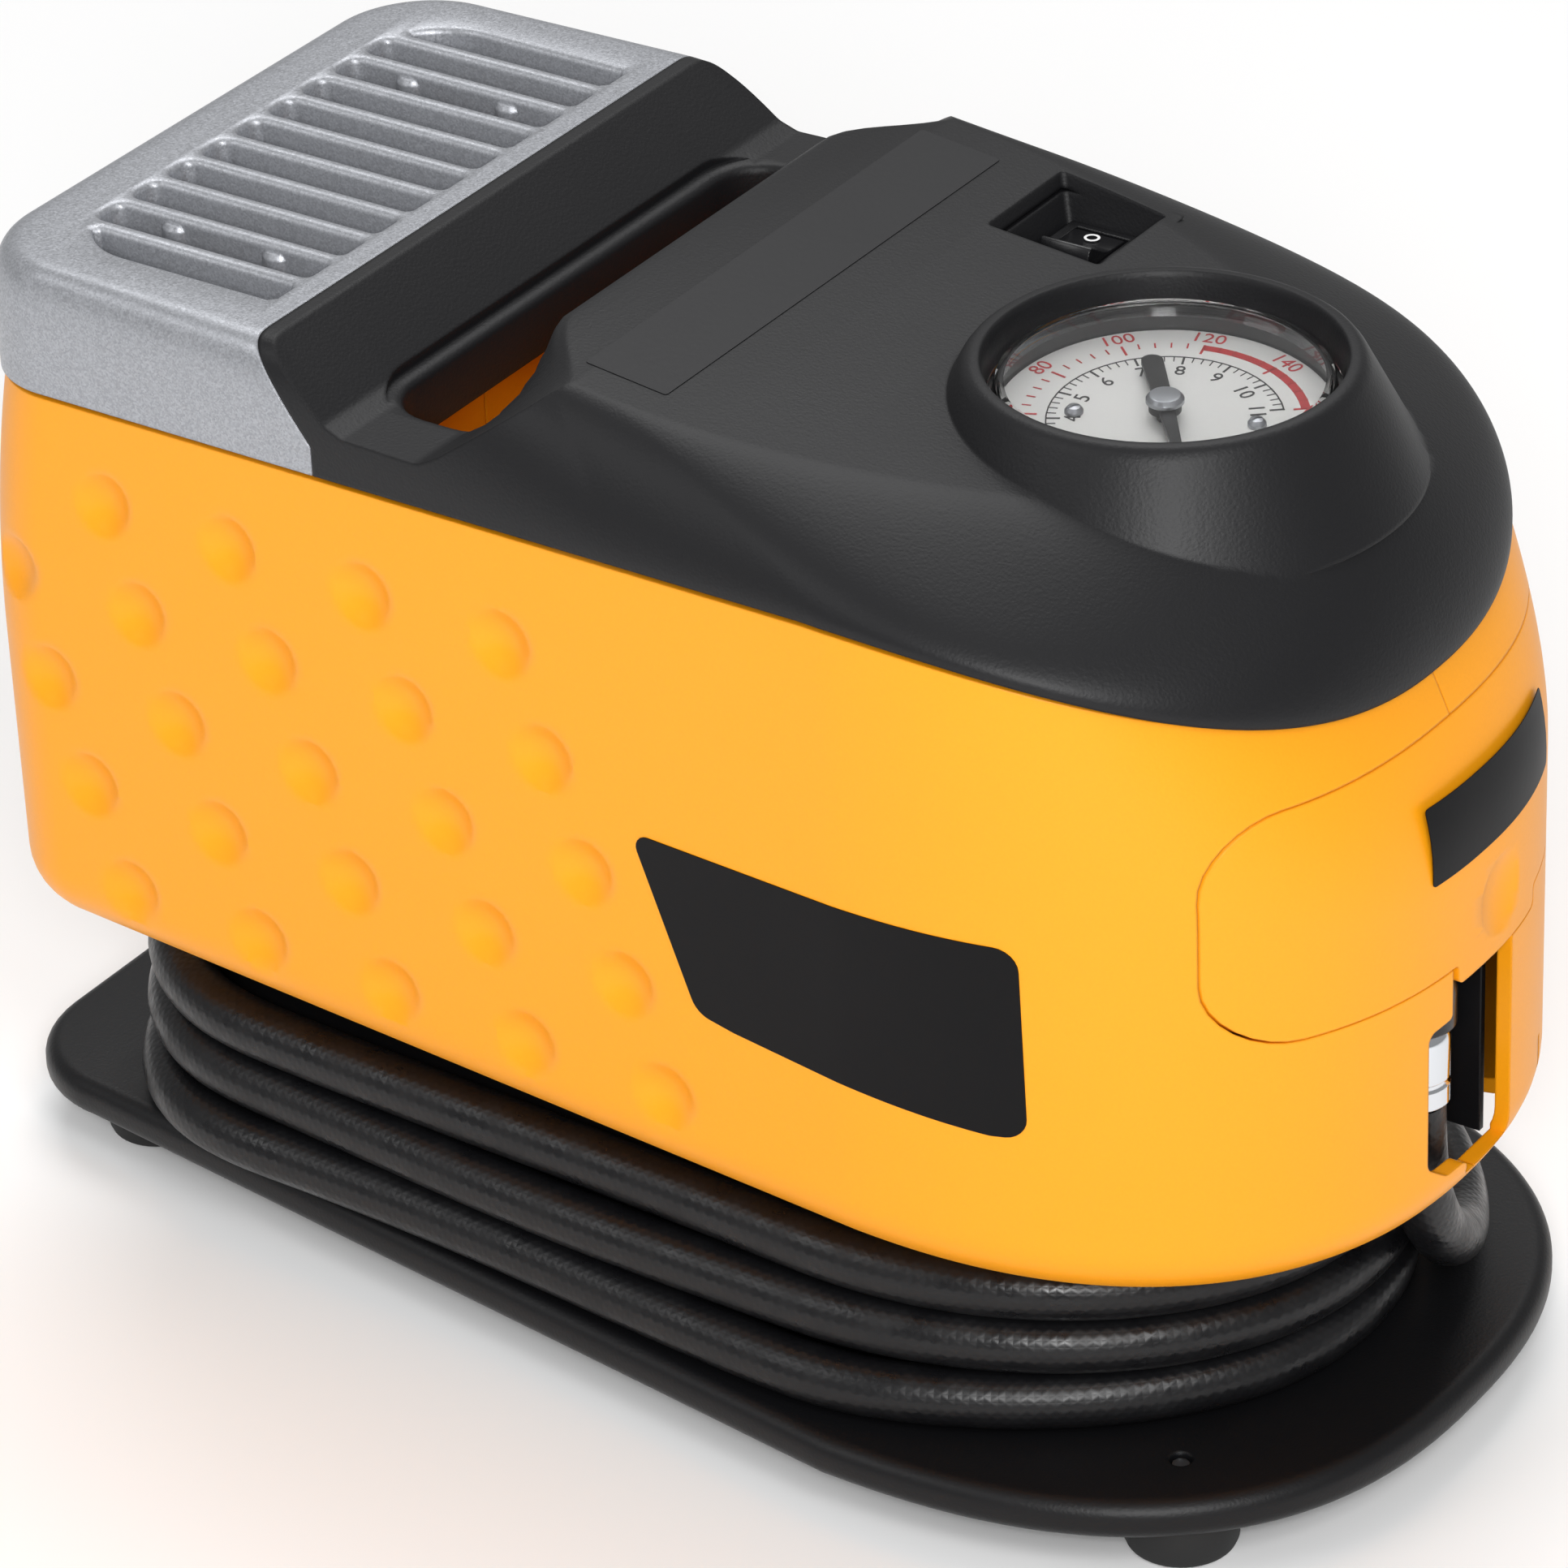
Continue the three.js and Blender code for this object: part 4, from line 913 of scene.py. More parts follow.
# ---------------------------------------------------------------- hose
@dataclass
class AirHose:
    """The air hose: three turns round the drum, then a lead up to the chuck in its slot."""

    diameter: float = 11.0
    pitch: float = 11.2
    turns: int = 3
    floor: float = 17.3
    gland_mouth: Point3 = (34.3, 44.5, 25.3)
    tail: tuple[Point3, ...] = ((40, 44.5, 25.2), (47, 44.9, 24.4), (54, 45.6, 23.4), (65, 46.7, 22.9),
        (76, 47.6, 22.8), (87, 47.5, 22.8))
    join_x: float = 104.0
    join_y: float = 43.0
    rise: Point2 = (-60.0, 32.0)  # between these a turn climbs to the next, on the left side
    leave: Point2 = (-112.0, -8.0)  # between these the last turn swings out, and then the lead starts
    leave_run: float = 72.0
    leave_out: float = 14.6
    lead: tuple[Point3, ...] = (
        (8, 72.5, 45.4), (22, 72.9, 44.2), (38, 73.3, 41), (54, 73.2, 37.2), (70, 71.2, 33), (85, 67.3, 29.4),
        (98, 61.8, 26.6), (110, 54.6, 24.8), (119, 47.5, 24.1),
    )
    lead_bend: float = 42.0
    chuck: Point3 = (137.4, -1.0, 73.0)
    sides: int = 20
    step: float = 3.0
    join_span: tuple[int, int] = (10, 100)  # points relaxed for longer, counted from the start
    lead_span: tuple[int, int] = (76, 14)  # the same on the lead, counted back from the end

    def splay(self, x: float, y: float, turn: int) -> float:
        """How far a slack turn stands out from the drum along the right side."""
        slack = (8.2, 5.4, 2.4)[turn] + (1.2, 1.3, 0.6)[turn] * math.sin(x / 27 + 1.9 * turn)
        share = clamp(-y / 62)
        return slack * share * share * (3 - 2 * share) * clamp((118 - x) / 60)

    def coil(self) -> list[Point3]:
        """Centreline of the turns, from the join on the left round the nose and back."""
        plan = Grain(6, 12, 10, 8, 12, 34)
        base = COIL.ring(plan, 0, 0, 0)
        half = len(base) // 2
        # The ring starts at the back and runs along the right side. Started at the nose and reversed, it
        # comes from the left side round the nose, then goes back along the right side.
        loop = list(reversed(base[half:] + base[:half]))
        away = [math.hypot(x - self.join_x, y - self.join_y) for x, y in loop]
        start = away.index(min(away))
        loop = loop[start:] + loop[:start]
        route: list[Point3] = []
        for turn in range(self.turns):
            level = self.floor + self.diameter / 2 + turn * self.pitch
            last = turn == self.turns - 1
            for i, (x, y) in enumerate(loop):
                on_left = y > 0 and i > len(loop) // 2  # the stretch that comes home to the join
                if last and on_left and x > self.leave[0]:
                    if x > self.leave[1]:
                        return route
                    out = self.leave_out * clamp((x - self.leave[0]) / self.leave_run) ** 0.6
                    route.append((x, y + out * 0.98, level + 0.2))
                    continue
                lift = clamp((x - self.rise[0]) / (self.rise[1] - self.rise[0])) if on_left else 0.0
                ease = lift * lift * (3 - 2 * lift)
                route.append((x, y - self.splay(x, y, turn), level + (0 if last else self.pitch * ease)))
        return route

    def beside_coil(self, y: float) -> float:
        """X of a hose that lies against the outside of the coil, round the nose."""
        reach = self.chuck[0] - COIL.nose
        half = COIL.half(COIL.nose) + self.diameter + 0.4
        return COIL.nose + reach * (1 - (abs(y) / half) ** COIL.power) ** (1 / COIL.power)

    def bend(self) -> list[Point3]:
        """The last bend, from level along the nose to straight up behind the slot."""
        x, y, z = self.chuck
        centre = z - GAP - 8
        points: list[Point3] = []
        for degrees in (14, 30, 46, 62, 78, 90):
            a = math.radians(degrees)
            across = y + self.lead_bend * (1 - math.sin(a))
            height = centre - self.lead_bend * math.cos(a)
            points.append((self.beside_coil(across), across, height))
        points.append((x, y, z - GAP))
        return points

    def route(self) -> list[Vector]:
        """The whole centreline, smoothed and evenly spaced, in metres."""
        knots = [self.gland_mouth, *self.tail, *self.coil(), *self.lead, *self.bend()]
        points = [Vector(k) for k in knots]
        dense: list[Vector] = []
        for i in range(len(points) - 1):
            p0, p1 = points[max(i - 1, 0)], points[i]
            p2, p3 = points[i + 1], points[min(i + 2, len(points) - 1)]
            steps = max(2, int((p2 - p1).length / 1.5))
            for k in range(steps):
                t = k / steps
                a = p1 * 2 + (p2 - p0) * t + (p0 * 2 - p1 * 5 + p2 * 4 - p3) * t * t
                dense.append((a + (p1 * 3 - p0 - p2 * 3 + p3) * t**3) / 2)
        dense.append(points[-1])
        return [p * MM for p in self.evened(dense)]

    def evened(self, dense: list[Vector]) -> list[Vector]:
        """Relaxes the small kinks of a line and spaces its points evenly."""
        for _ in range(30):
            inner = [dense[i] * 0.5 + (dense[i - 1] + dense[i + 1]) * 0.25 for i in range(1, len(dense) - 1)]
            dense = [dense[0], *inner, dense[-1]]
        lead_span = (len(dense) - self.lead_span[0], len(dense) - self.lead_span[1])
        for first, last in (self.join_span, lead_span):
            for _ in range(90):
                for i in range(first, last):
                    pull = 0.5 * math.sin(math.pi * (i - first) / (last - first)) ** 2
                    dense[i] = dense[i].lerp((dense[i - 1] + dense[i + 1]) / 2, pull)
        lengths = [0.0]
        for a, b in zip(dense, dense[1:]):
            lengths.append(lengths[-1] + (b - a).length)
        count = int(lengths[-1] / self.step)
        even: list[Vector] = []
        i = 0
        for k in range(count + 1):
            at = lengths[-1] * k / count
            while i < len(dense) - 2 and lengths[i + 1] < at:
                i += 1
            share = (at - lengths[i]) / max(lengths[i + 1] - lengths[i], 1e-9)
            even.append(dense[i].lerp(dense[i + 1], clamp(share)))
        return even

    def skin(self, route: list[Vector]) -> bpy.types.Object:
        """A closed tube round the centreline, with a UV map that follows it."""
        radius = self.diameter / 2 * MM
        side = Vector((0, 1, 0))
        points: list[Point3] = []
        for i, centre in enumerate(route):
            ahead = (route[min(i + 1, len(route) - 1)] - route[max(i - 1, 0)]).normalized()
            side = (side - ahead * side.dot(ahead)).normalized()
            up = ahead.cross(side)
            for k in range(self.sides):
                a = math.tau * k / self.sides
                points.append(tuple((centre + (side * math.cos(a) + up * math.sin(a)) * radius) / MM))
        count = self.sides
        faces: list[tuple[int, ...]] = [tuple(reversed(range(count)))]
        for j in range(len(route) - 1):
            low, high = j * count, (j + 1) * count
            faces += [
                (low + i, low + (i + 1) % count, high + (i + 1) % count, high + i) for i in range(count)
            ]
        faces.append(tuple(range((len(route) - 1) * count, len(route) * count)))
        hose = mesh_piece("air_hose", points, faces)
        layer = hose.data.uv_layers.new(name="along_hose").data
        girth = math.tau * radius
        run = self.step * MM / girth
        for polygon in hose.data.polygons[1:-1]:
            j, i = divmod(polygon.index - 1, count)
            for loop, (dj, di) in zip(polygon.loop_indices, ((0, 0), (0, 1), (1, 1), (1, 0))):
                layer[loop].uv = ((j + dj) * run, (i + di) / count)
        return hose

    def gland(self) -> bpy.types.Object:
        """The rubber bush that the hose leaves the manifold's pipe through, with three grip rings."""
        x, y, z = self.gland_mouth
        profile = [(0, 0), (6.6, 0), (7.4, 0.8), (7.4, 3.6)]
        for k in range(3):
            at = 3.6 + 3.6 * k
            profile += [(6.7, at + 0.3), (6.7, at + 1.3), (7.4 - 0.15 * k, at + 1.6),
                (7.3 - 0.15 * k, at + 3.6)]
        profile += [(6.6, 17.2), (6.2, 18), (0, 18)]
        bush = turned("hose_bush", profile, (x - 18.3, y, z), "X", 48)
        return Fitting(SOFT_RUBBER, "hose_rubber", nodes=("hose_gland",)).fit(bush)

    def build(self, on_end: Sequence[bpy.types.Object]) -> None:
        """Args:
            on_end: the pieces of the chuck; not used.
        """
        route = self.route()
        hose = self.skin(route)
        nodes = ("hose_tail", "hose_coil", "hose_lead")
        Fitting(HOSE_RUBBER, "hose_rubber", nodes=nodes, smooth=60).fit(hose)
        self.gland()


@dataclass
class Chuck:
    """The tire chuck on the hose's end: a chrome sleeve with a black locking ring."""

    place: Point3 = (137.4, -1.0, 73.0)

    def build(self) -> list[bpy.types.Object]:
        """Makes the sleeve and the ring.

        Returns:
            Both pieces.
        """
        x, y, z = self.place
        sleeve_profile = [
            (0, 0), (5.6, 0), (6.2, 0.6), (6.2, 4.2), (5.7, 4.6), (5.7, 5.4), (6.2, 5.8), (6.2, 13.4),
            (5.9, 14.6),
            (5.0, 15.8), (4.0, 16.0), (4.0, 25.4), (3.6, 26.0), (0, 26.0),
        ]
        sleeve = turned("chuck_sleeve", sleeve_profile, (x, y, z), steps=64)
        ring_profile = [(4.4, 16.3), (6.9, 16.3), (7.2, 16.7), (7.2, 23.6), (6.6, 25.6), (6.0, 26.3),
            (4.4, 26.3), (4.4, 16.3)]
        ring = turned("chuck_ring", ring_profile, (x, y, z), steps=64)
        Fitting(CHROME, "chrome", nodes=("chuck_body",)).fit(sleeve)
        Fitting(GLOSS_ABS, "gloss_black", body="collar", nodes=("chuck_collar",)).fit(ring)
        return [sleeve, ring]


# ---------------------------------------------------------------- body
@dataclass
class Housing:
    """The yellow body in two halves, with rows of dimples, the nozzle door and the chuck's slot."""

    dimple_pitch: Point2 = (31.5, 20.7)
    dimple_start: Point2 = (-100.5, 159.1)
    dimple_shift: float = 7.9
    dimple_radius: float = 6.9
    dimple_depth: float = 2.7
    levels: int = 96
    curl_steps: int = 10

    def dimples(self) -> list[Point2]:
        """Centres of the dimples, as distance along the wall and height."""
        centres = []
        for row in range(5):
            for column in range(0 if row == 0 else -1, 4):
                along = self.dimple_start[0] + self.dimple_pitch[0] * column + self.dimple_shift * row
                centres.append((along, self.dimple_start[1] - self.dimple_pitch[1] * row))
        return centres

    def level(self, grain: Grain, inset: float, tuck: float, share: float, lift: float) -> Ring:
        """One ring of the wall.

        Args:
            grain: steps of the outline.
            inset: distance inside the outer wall.
            tuck: extra inset in the rounded lower edge.
            share: 0 at the top of that edge, 1 at the shoulder.
            lift: height above the floor in the rounded edge.
        """

        def height(x: float) -> float:
            return blend(underside(x) + inset + lift, shoulder_z(x), share)

        back, tip = back_lean(height(BODY.back)), nose_lean(height(BODY.tip - 12))
        plan = BODY.ring(grain, inset + tuck, inset + tuck + back, inset + tuck + tip)
        return [(x, y, height(x)) for x, y in plan]

    def wall_rings(self, grain: Grain, inset: float, levels: int) -> list[Ring]:
        """Rings of one wall from the floor up to the shoulder."""
        radius = BODY_CURL - inset
        rings = []
        for k in range(self.curl_steps + 1):
            a = k / self.curl_steps * math.pi / 2
            rings.append(self.level(grain, inset, radius * (1 - math.sin(a)), 0, radius * (1 - math.cos(a))))
        rings += [self.level(grain, inset, 0, k / levels, radius) for k in range(1, levels + 1)]
        return rings

    def dented(self, rings: list[Ring], grain: Grain) -> list[Ring]:
        """Presses the dimples into the outer wall."""
        plan = BODY.ring(grain, 0, 0, 0)
        half = len(plan) // 2
        zero = min(range(half), key=lambda i: abs(plan[i][0]))
        along = [0.0] * len(plan)
        for step, stop in ((1, half), (-1, 0)):
            i = zero
            while i != stop:
                near = Vector(plan[i + step]) - Vector(plan[i])
                along[i + step] = along[i] + step * near.length
                i += step
        for i in range(1, half):
            along[-i] = along[i]
        offset = plan[zero][0]
        centres = self.dimples()
        result = []
        for ring in rings:
            moved = []
            for i, (x, y, z) in enumerate(ring):
                ahead = Vector(plan[(i + 1) % len(plan)]) - Vector(plan[i - 1])
                inward = Vector((-ahead.y, ahead.x)).normalized()
                depth = 0.0
                if x < 60 and z > 66:
                    for s, height in centres:
                        reach = math.hypot(along[i] + offset - s, z - height) / self.dimple_radius
                        if reach < 1:
                            depth = self.dimple_depth * (1 - reach**2) ** 1.12
                moved.append((x + inward.x * depth, y + inward.y * depth, z))
            result.append(moved)
        return result

    def shell(self, name: str, grain: Grain, wall: float, levels: int, dented: bool) -> bpy.types.Object:
        """The body as one open-topped shell with a wall.

        Args:
            name: the object's name.
            grain: steps of the outline.
            wall: thickness.
            levels: rings between the rounded edge and the shoulder.
            dented: whether the dimples are pressed in.

        Returns:
            The shell.
        """
        outer = self.wall_rings(grain, 0, levels)
        if dented:
            outer = self.dented(outer, grain)
        inner = self.wall_rings(grain, wall, 12)
        return loft(name, [*outer, *reversed(inner)])

    def door_region(self, grow: float) -> bpy.types.Object:
        """The door's outline seen from the nose, through the wall."""
        z0, z1, half, tab, tab_z = 108.5 - grow, 152.5 + grow, 56 + grow, (-8 - grow, 22 + grow), 104.3 - grow
        corners = [
            (-half, z0), (tab[0], z0), (tab[0], tab_z), (tab[1], tab_z), (tab[1], z0), (half, z0),
            (half, z1), (-half, z1),
        ]
        outline = filleted(corners, [14, 1.2, 1.5, 1.5, 1.2, 14, 14, 14], 8)
        return prism("door_region", outline, 104, 204, Facing.NOSE)

    def slot_region(self) -> bpy.types.Object:
        """The slot that holds the chuck, seen from the nose."""
        corners = [(-16.5, 70), (-16.5, 98), (-9.8, 98.5), (-9.8, 110), (11.5, 110), (11.5, 62), (-4, 62),
            (-4, 66), (-11, 66)]
        outline = filleted(corners, [2.5, 2.0, 1.0, 0, 0, 0, 1.5, 2.5, 2.5], 5)
        return prism("slot_region", outline, 118, 178, Facing.NOSE)

    def build(self) -> None:
        """Makes the halves, the handle well and the door."""
        body = self.shell("housing", FINE, WALL, self.levels, dented=True)
        combine(body, self.door_region(GAP), Join.CUT)
        combine(body, self.slot_region(), Join.CUT)
        combine(body, block("passage", (124, -11, 40), (145.5, 30, 72)), Join.CUT)
        cord_hole = turned("cord_hole", [(0, -15), (5.5, -15), (5.5, 15), (0, 15)], (-135, 30, 88), "X", 32)
        combine(body, cord_hole, Join.CUT)
        combine(body, block("drain", (-64, -4, 40), (-56, 4, 72)), Join.CUT)
        other = body.copy()
        other.data = body.data.copy()
        bpy.context.scene.collection.objects.link(other)
        sides = {"housing_left": (body, 1), "housing_right": (other, -1)}
        for name, (half, side) in sides.items():
            y = (GAP / 2, 200) if side > 0 else (-200, -GAP / 2)
            combine(half, block("half_space", (-200, y[0], 0), (200, y[1], 300)), Join.KEEP)
            half.name = f"{name}_shell"
            Fitting(YELLOW_ABS, "yellow_plastic", nodes=(name,), smooth=28).fit(half)
            self.well(name, side)
        self.slot_liner()
        self.door()

    def well(self, name: str, side: int) -> None:
        """The yellow well under the handle bar, split along the centre like the body.

        Args:
            name: the half of the body that it is moulded with.
            side: 1 on the left, -1 on the right.
        """
        outer = prism("well", rounded_box(-64.5, -6.5, 62.5, 8), 146.5, 175, Facing.TOP)
        combine(outer, prism("room", rounded_box(-62, -9, 60, 6), 149, 230, Facing.TOP), Join.CUT)
        y = (0.2, 200) if side > 0 else (-200, -0.2)
        combine(outer, block("half_space", (-200, y[0], 0), (200, y[1], 300)), Join.KEEP)
        outer.name = f"handle_well_{name.split('_')[1]}"
        Fitting(YELLOW_ABS, "yellow_plastic").fit(outer)

    def slot_liner(self) -> None:
        """The black pocket behind the slot, open to the nose and downwards."""
        liner = block("slot_liner", (115.5, -18.2, 60.5), (143.2, 13.2, 105.8), 0)
        combine(liner, block("room", (117.5, -16.8, 50), (160, 11.8, 104.4)), Join.CUT)
        Fitting(SATIN_ABS, "black_plastic").fit(liner)

    def door(self) -> None:
        """The door over the nozzle store, with a finger dimple above its tab, and its black label."""
        skin = self.shell("accessory_door", MEDIUM, WALL - 0.4, 60, dented=False)
        combine(skin, self.door_region(0), Join.KEEP)
        bpy.ops.mesh.primitive_uv_sphere_add(segments=64, ring_count=40, radius=20 * MM)
        dimple = bpy.context.object
        dimple.data.transform(Matrix.Translation(Vector((168.1, 7.5, 115.5)) * MM))
        combine(skin, dimple, Join.CUT)
        Fitting(YELLOW_ABS, "yellow_plastic", "accessory_cover_body", ("accessory_cover",), 28).fit(skin)
        outline = filleted([(-16, 128), (31, 128), (31, 143), (-16, 143)], 0.8, 3)
        label = label_patch(
            "door_label", outline, lambda y, z: wall_point(y, z, 0.06), lambda y, z: wall_point(y, z, 0.22)
        )
        Fitting(VINYL, "black_plastic", "accessory_cover_body").fit(label)


def label_patch(
    name: str, outline: Sequence[Point2], under: Callable[[float, float], Point3],
    over: Callable[[float, float], Point3],
) -> bpy.types.Object:
    """A thin film that lies on a curved wall.

    Args:
        name: the object's name.
        outline: the film's flat outline, in the wall's two coordinates.
        under: places a point of the film's back.
        over: places a point of its face.

    Returns:
        The closed film.
    """
    film = mesh_piece(name, [(u, w, 0) for u, w in outline], [tuple(range(len(outline)))])
    low, high = min(u for u, _ in outline), max(u for u, _ in outline)
    slices = int((high - low) / 2)
    for i in range(1, slices):
        with editing(film):
            at = blend(low, high, i / slices) * MM
            bpy.ops.mesh.bisect(plane_co=(at, 0, 0), plane_no=(1, 0, 0))
    heights = [w for _, w in outline]
    rows = int((max(heights) - min(heights)) / 3)
    for i in range(1, rows):
        with editing(film):
            at = blend(min(heights), max(heights), i / rows) * MM
            bpy.ops.mesh.bisect(plane_co=(0, at, 0), plane_no=(0, 1, 0))
    with editing(film):
        bpy.ops.mesh.extrude_region_move(TRANSFORM_OT_translate={"value": (0, 0, 0.001)})
    for vertex in film.data.vertices:
        place = over if vertex.co.z > 0.0005 else under
        vertex.co = Vector(place(vertex.co.x / MM, vertex.co.y / MM)) * MM
    return face_outwards(film)


def side_label() -> None:
    """The black label on the right side: a slanted left edge and round corners, without print."""
    corners = [(21, 129.8), (99.5, 129), (100.5, 91), (94, 90.6), (42, 95.6), (34, 97)]
    outline = filleted(corners, [2.5, 4.5, 4.0, 6, 6, 5], 6)

    def on_wall(x: float, z: float, proud: float) -> Point3:
        return x, -BODY.side_y(x) - proud, z

    label = label_patch(
        "side_label", outline, lambda x, z: on_wall(x, z, 0.02), lambda x, z: on_wall(x, z, 0.2)
    )
    Fitting(VINYL, "black_plastic").fit(label)


# ---------------------------------------------------------------- covers
@dataclass
class Covers:
    """The black top cover and the silver vent grille, two pieces of one flowing shape."""

    arc_steps: int = 30
    hole: tuple[float, float, float, float] = (-41, -15, 57, 10)
    gauge: Point2 = (86.0, 0.0)
    switch: Point2 = (41.0, 44.5)

    def form(self, name: str, grain: Grain, inset: float, extra: float) -> bpy.types.Object:
        """The flowing shape from the shoulder line to the flat panel.

        Args:
            name: the object's name.
            grain: steps of the outline.
            inset: distance inside the outer surface.
            extra: how far it is lengthened downwards.

        Returns:
            A closed solid.
        """
        tip = nose_lean(shoulder_z(138))
        back = back_lean(shoulder_z(BODY.back))
        out = inset - COVER_LIP
        outer = BODY.ring(grain, out, back + out, tip + out - 1.5)
        inner = PANEL.ring(grain, inset, inset, inset)
        rings: list[Ring] = [[(x, y, shoulder_z(x) + SHOULDER_GAP - extra) for x, y in outer]]
        for k in range(self.arc_steps + 1):
            a = k / self.arc_steps * math.pi / 2
            ring = []
            for (x, y), (u, w) in zip(outer, inner):
                low = shoulder_z(x) + SHOULDER_GAP + 1.2
                power = blend(0.45, 1.3, clamp((x + 60) / 80))
                share = 1 - max(math.cos(a), 0.0) ** power
                px, py = blend(x, u, share), blend(y, w, share)
                top = blend(GRILLE_TOP, panel_z(px), clamp((x + 52) / 38)) - inset
                ring.append((px, py, blend(low, top, math.sin(a) ** power)))
            rings.append(ring)
        return loft(name, rings)

    def trough_outline(self, lean: float, wall: float) -> list[Point2]:
        """Side view of the hollow behind the handle bar.

        Args:
            lean: how far the top of its front wall lies ahead of the middle section's.
            wall: how far the whole front wall is moved ahead.
        """
        corners = [
            (-64, 203.9), (-57.2, 203.35), (-43, 191.5), (-39, 190), (-22 + wall, 190), (-17.5 + wall, 192.5),
            (-11.6 + lean + wall, 209.35 - 0.118 * (lean + wall)), (30, 204.9), (30, 230), (-64, 230),
        ]
        return filleted(corners, [0, 2.6, 5, 4, 5, 6, 4.2 + lean * 0.3, 0, 0, 0], 6)

    def trough(self, drop: float = 0.0) -> bpy.types.Object:
        """The hollow as a cutter; towards both ends its front wall leans ahead in a soft curve."""
        rings = []
        for y in (-200, *range(-74, -38, 3), 0, *range(38, 76, 3), 200):
            share = clamp((abs(y) - 40) / 24)
            outline = self.trough_outline(15 * share * share * (3 - 2 * share), 0.9 * drop)
            rings.append([(x, float(y), z - drop) for x, z in outline])
        return stacked("trough", rings)

    def top_cover(self) -> None:
        """The black cover with its handle trough, gauge tower and switch recess."""
        gx, gy = self.gauge
        cover = self.form("top_cover_moulding", FINE, 0, 0)
        combine(cover, ahead_of_seam(GAP / 2), Join.KEEP)
        low = panel_z(gx + 43.5) - 2.8
        tower = [(0, low - 4), (45.8, low - 4), (45.4, low - 3), (43.4, low + 0.5), (35.6, 205.4),
            (34.7, 206.6), (33.9, 207.2), (33.2, 207.4), (0, 207.4)]
        combine(cover, turned("tower", tower, (gx, gy, 0), steps=120), Join.ADD)
        room = self.form("room", MEDIUM, 2.6, 30)
        combine(room, ahead_of_seam(GAP / 2 + 2.6), Join.KEEP)
        combine(room, self.trough(3), Join.CUT)
        combine(cover, room, Join.CUT)
        x0, x1, half, radius = self.hole
        lip = prism("lip", rounded_box(x0 - 2.6, x1 + 2.6, half + 2.6, radius + 1), 178.6, 190.6, Facing.TOP)
        combine(cover, lip, Join.ADD)
        combine(cover, self.trough(), Join.CUT)
        lip_edge = [(150, 0), (188.4, 0), (189.2, 0.25), (189.8, 0.75), (190.15, 1.6), (190.3, 3), (230, 3)]
        combine(cover, flared("hand_hole", rounded_box(x0, x1, half, radius), lip_edge), Join.CUT)
        bore = [(0, 150), (31.4, 150), (31.4, 206.2), (31.8, 207.0), (32.6, 208.5), (0, 208.5)]
        combine(cover, turned("bore", bore, (gx, gy, 0), steps=120), Join.CUT)
        pan = self.frustum((27, 28), (21, 23), 10.4, -2)
        combine(cover, pan, Join.ADD)
        combine(cover, self.frustum((25, 26), (18, 20), 8, 3), Join.CUT)
        sx, sy = self.switch
        combine(cover, block("opening", (sx - 7.4, sy - 8.9, 150), (sx + 7.4, sy + 8.9, 205)), Join.CUT)
        combine(cover, block("below", (-200, -200, 100), (200, 200, 161)), Join.CUT)
        Fitting(GRAINED_ABS, "black_plastic", nodes=("top_cover",), smooth=30).fit(cover)

    def frustum(self, opening: Point2, floor: Point2, depth: float, extra: float) -> bpy.types.Object:
        """A pocket with sloping walls under the panel at the switch."""
        x, y = self.switch
        top = panel_z(x) + extra
        rings = []
        for (lx, ly), z in ((floor, top - extra - depth), (opening, top)):
            corners = [(x - lx / 2, y - ly / 2), (x + lx / 2, y - ly / 2), (x + lx / 2, y + ly / 2),
                (x - lx / 2, y + ly / 2)]
            rings.append([(u, w, z) for u, w in filleted(corners, 1.0, 3)])
        count = len(rings[0])
        faces: list[tuple[int, ...]] = [tuple(range(count)), tuple(range(count, 2 * count))]
        faces += [(i, (i + 1) % count, count + (i + 1) % count, count + i) for i in range(count)]
        return face_outwards(mesh_piece("frustum", [p for ring in rings for p in ring], faces))

    def grille(self) -> None:
        """The silver grille with eleven slots, four of its ribs carrying screw bosses."""
        grille = self.form("vent_grille_moulding", FINE, 0, 0)
        combine(grille, ahead_of_seam(-GAP / 2), Join.CUT)
        room = self.form("room", MEDIUM, 3, 30)
        combine(room, block("high", (-300, -200, GRILLE_TOP - 15), (300, 200, 300)), Join.CUT)
        combine(room, ahead_of_seam(-GAP / 2 - 3), Join.CUT)
        combine(grille, room, Join.CUT)
        pitch, width, count = 10.15, 6.9, 11
        edge = [(170, 0.0), (202.0, 0.0), (202.6, 0.2), (203.0, 0.6), (203.2, 1.1), (204, 1.3)]
        cutters = []
        for i in range(count):
            outline = self.slot_outline((i - (count - 1) / 2) * pitch, width)
            cutters.append(flared(f"slot_{i}", outline, edge))
        slots = join_pieces("slots", cutters)
        combine(grille, slots, Join.CUT)
        for x in (-102.0, -79.0):
            for i in (-3, 3):
                y = (i + 0.5 * (1 if i > 0 else -1)) * pitch
                boss = [(0, 188.2), (3.1, 188.2), (3.1, 200.6), (2.5, 201.6), (0, 201.8)]
                combine(grille, turned("boss", boss, (x, y, 0), steps=24), Join.ADD)
        Fitting(SILVER_PAINT, "silver_paint", nodes=("vent_grille",), smooth=30).fit(grille)

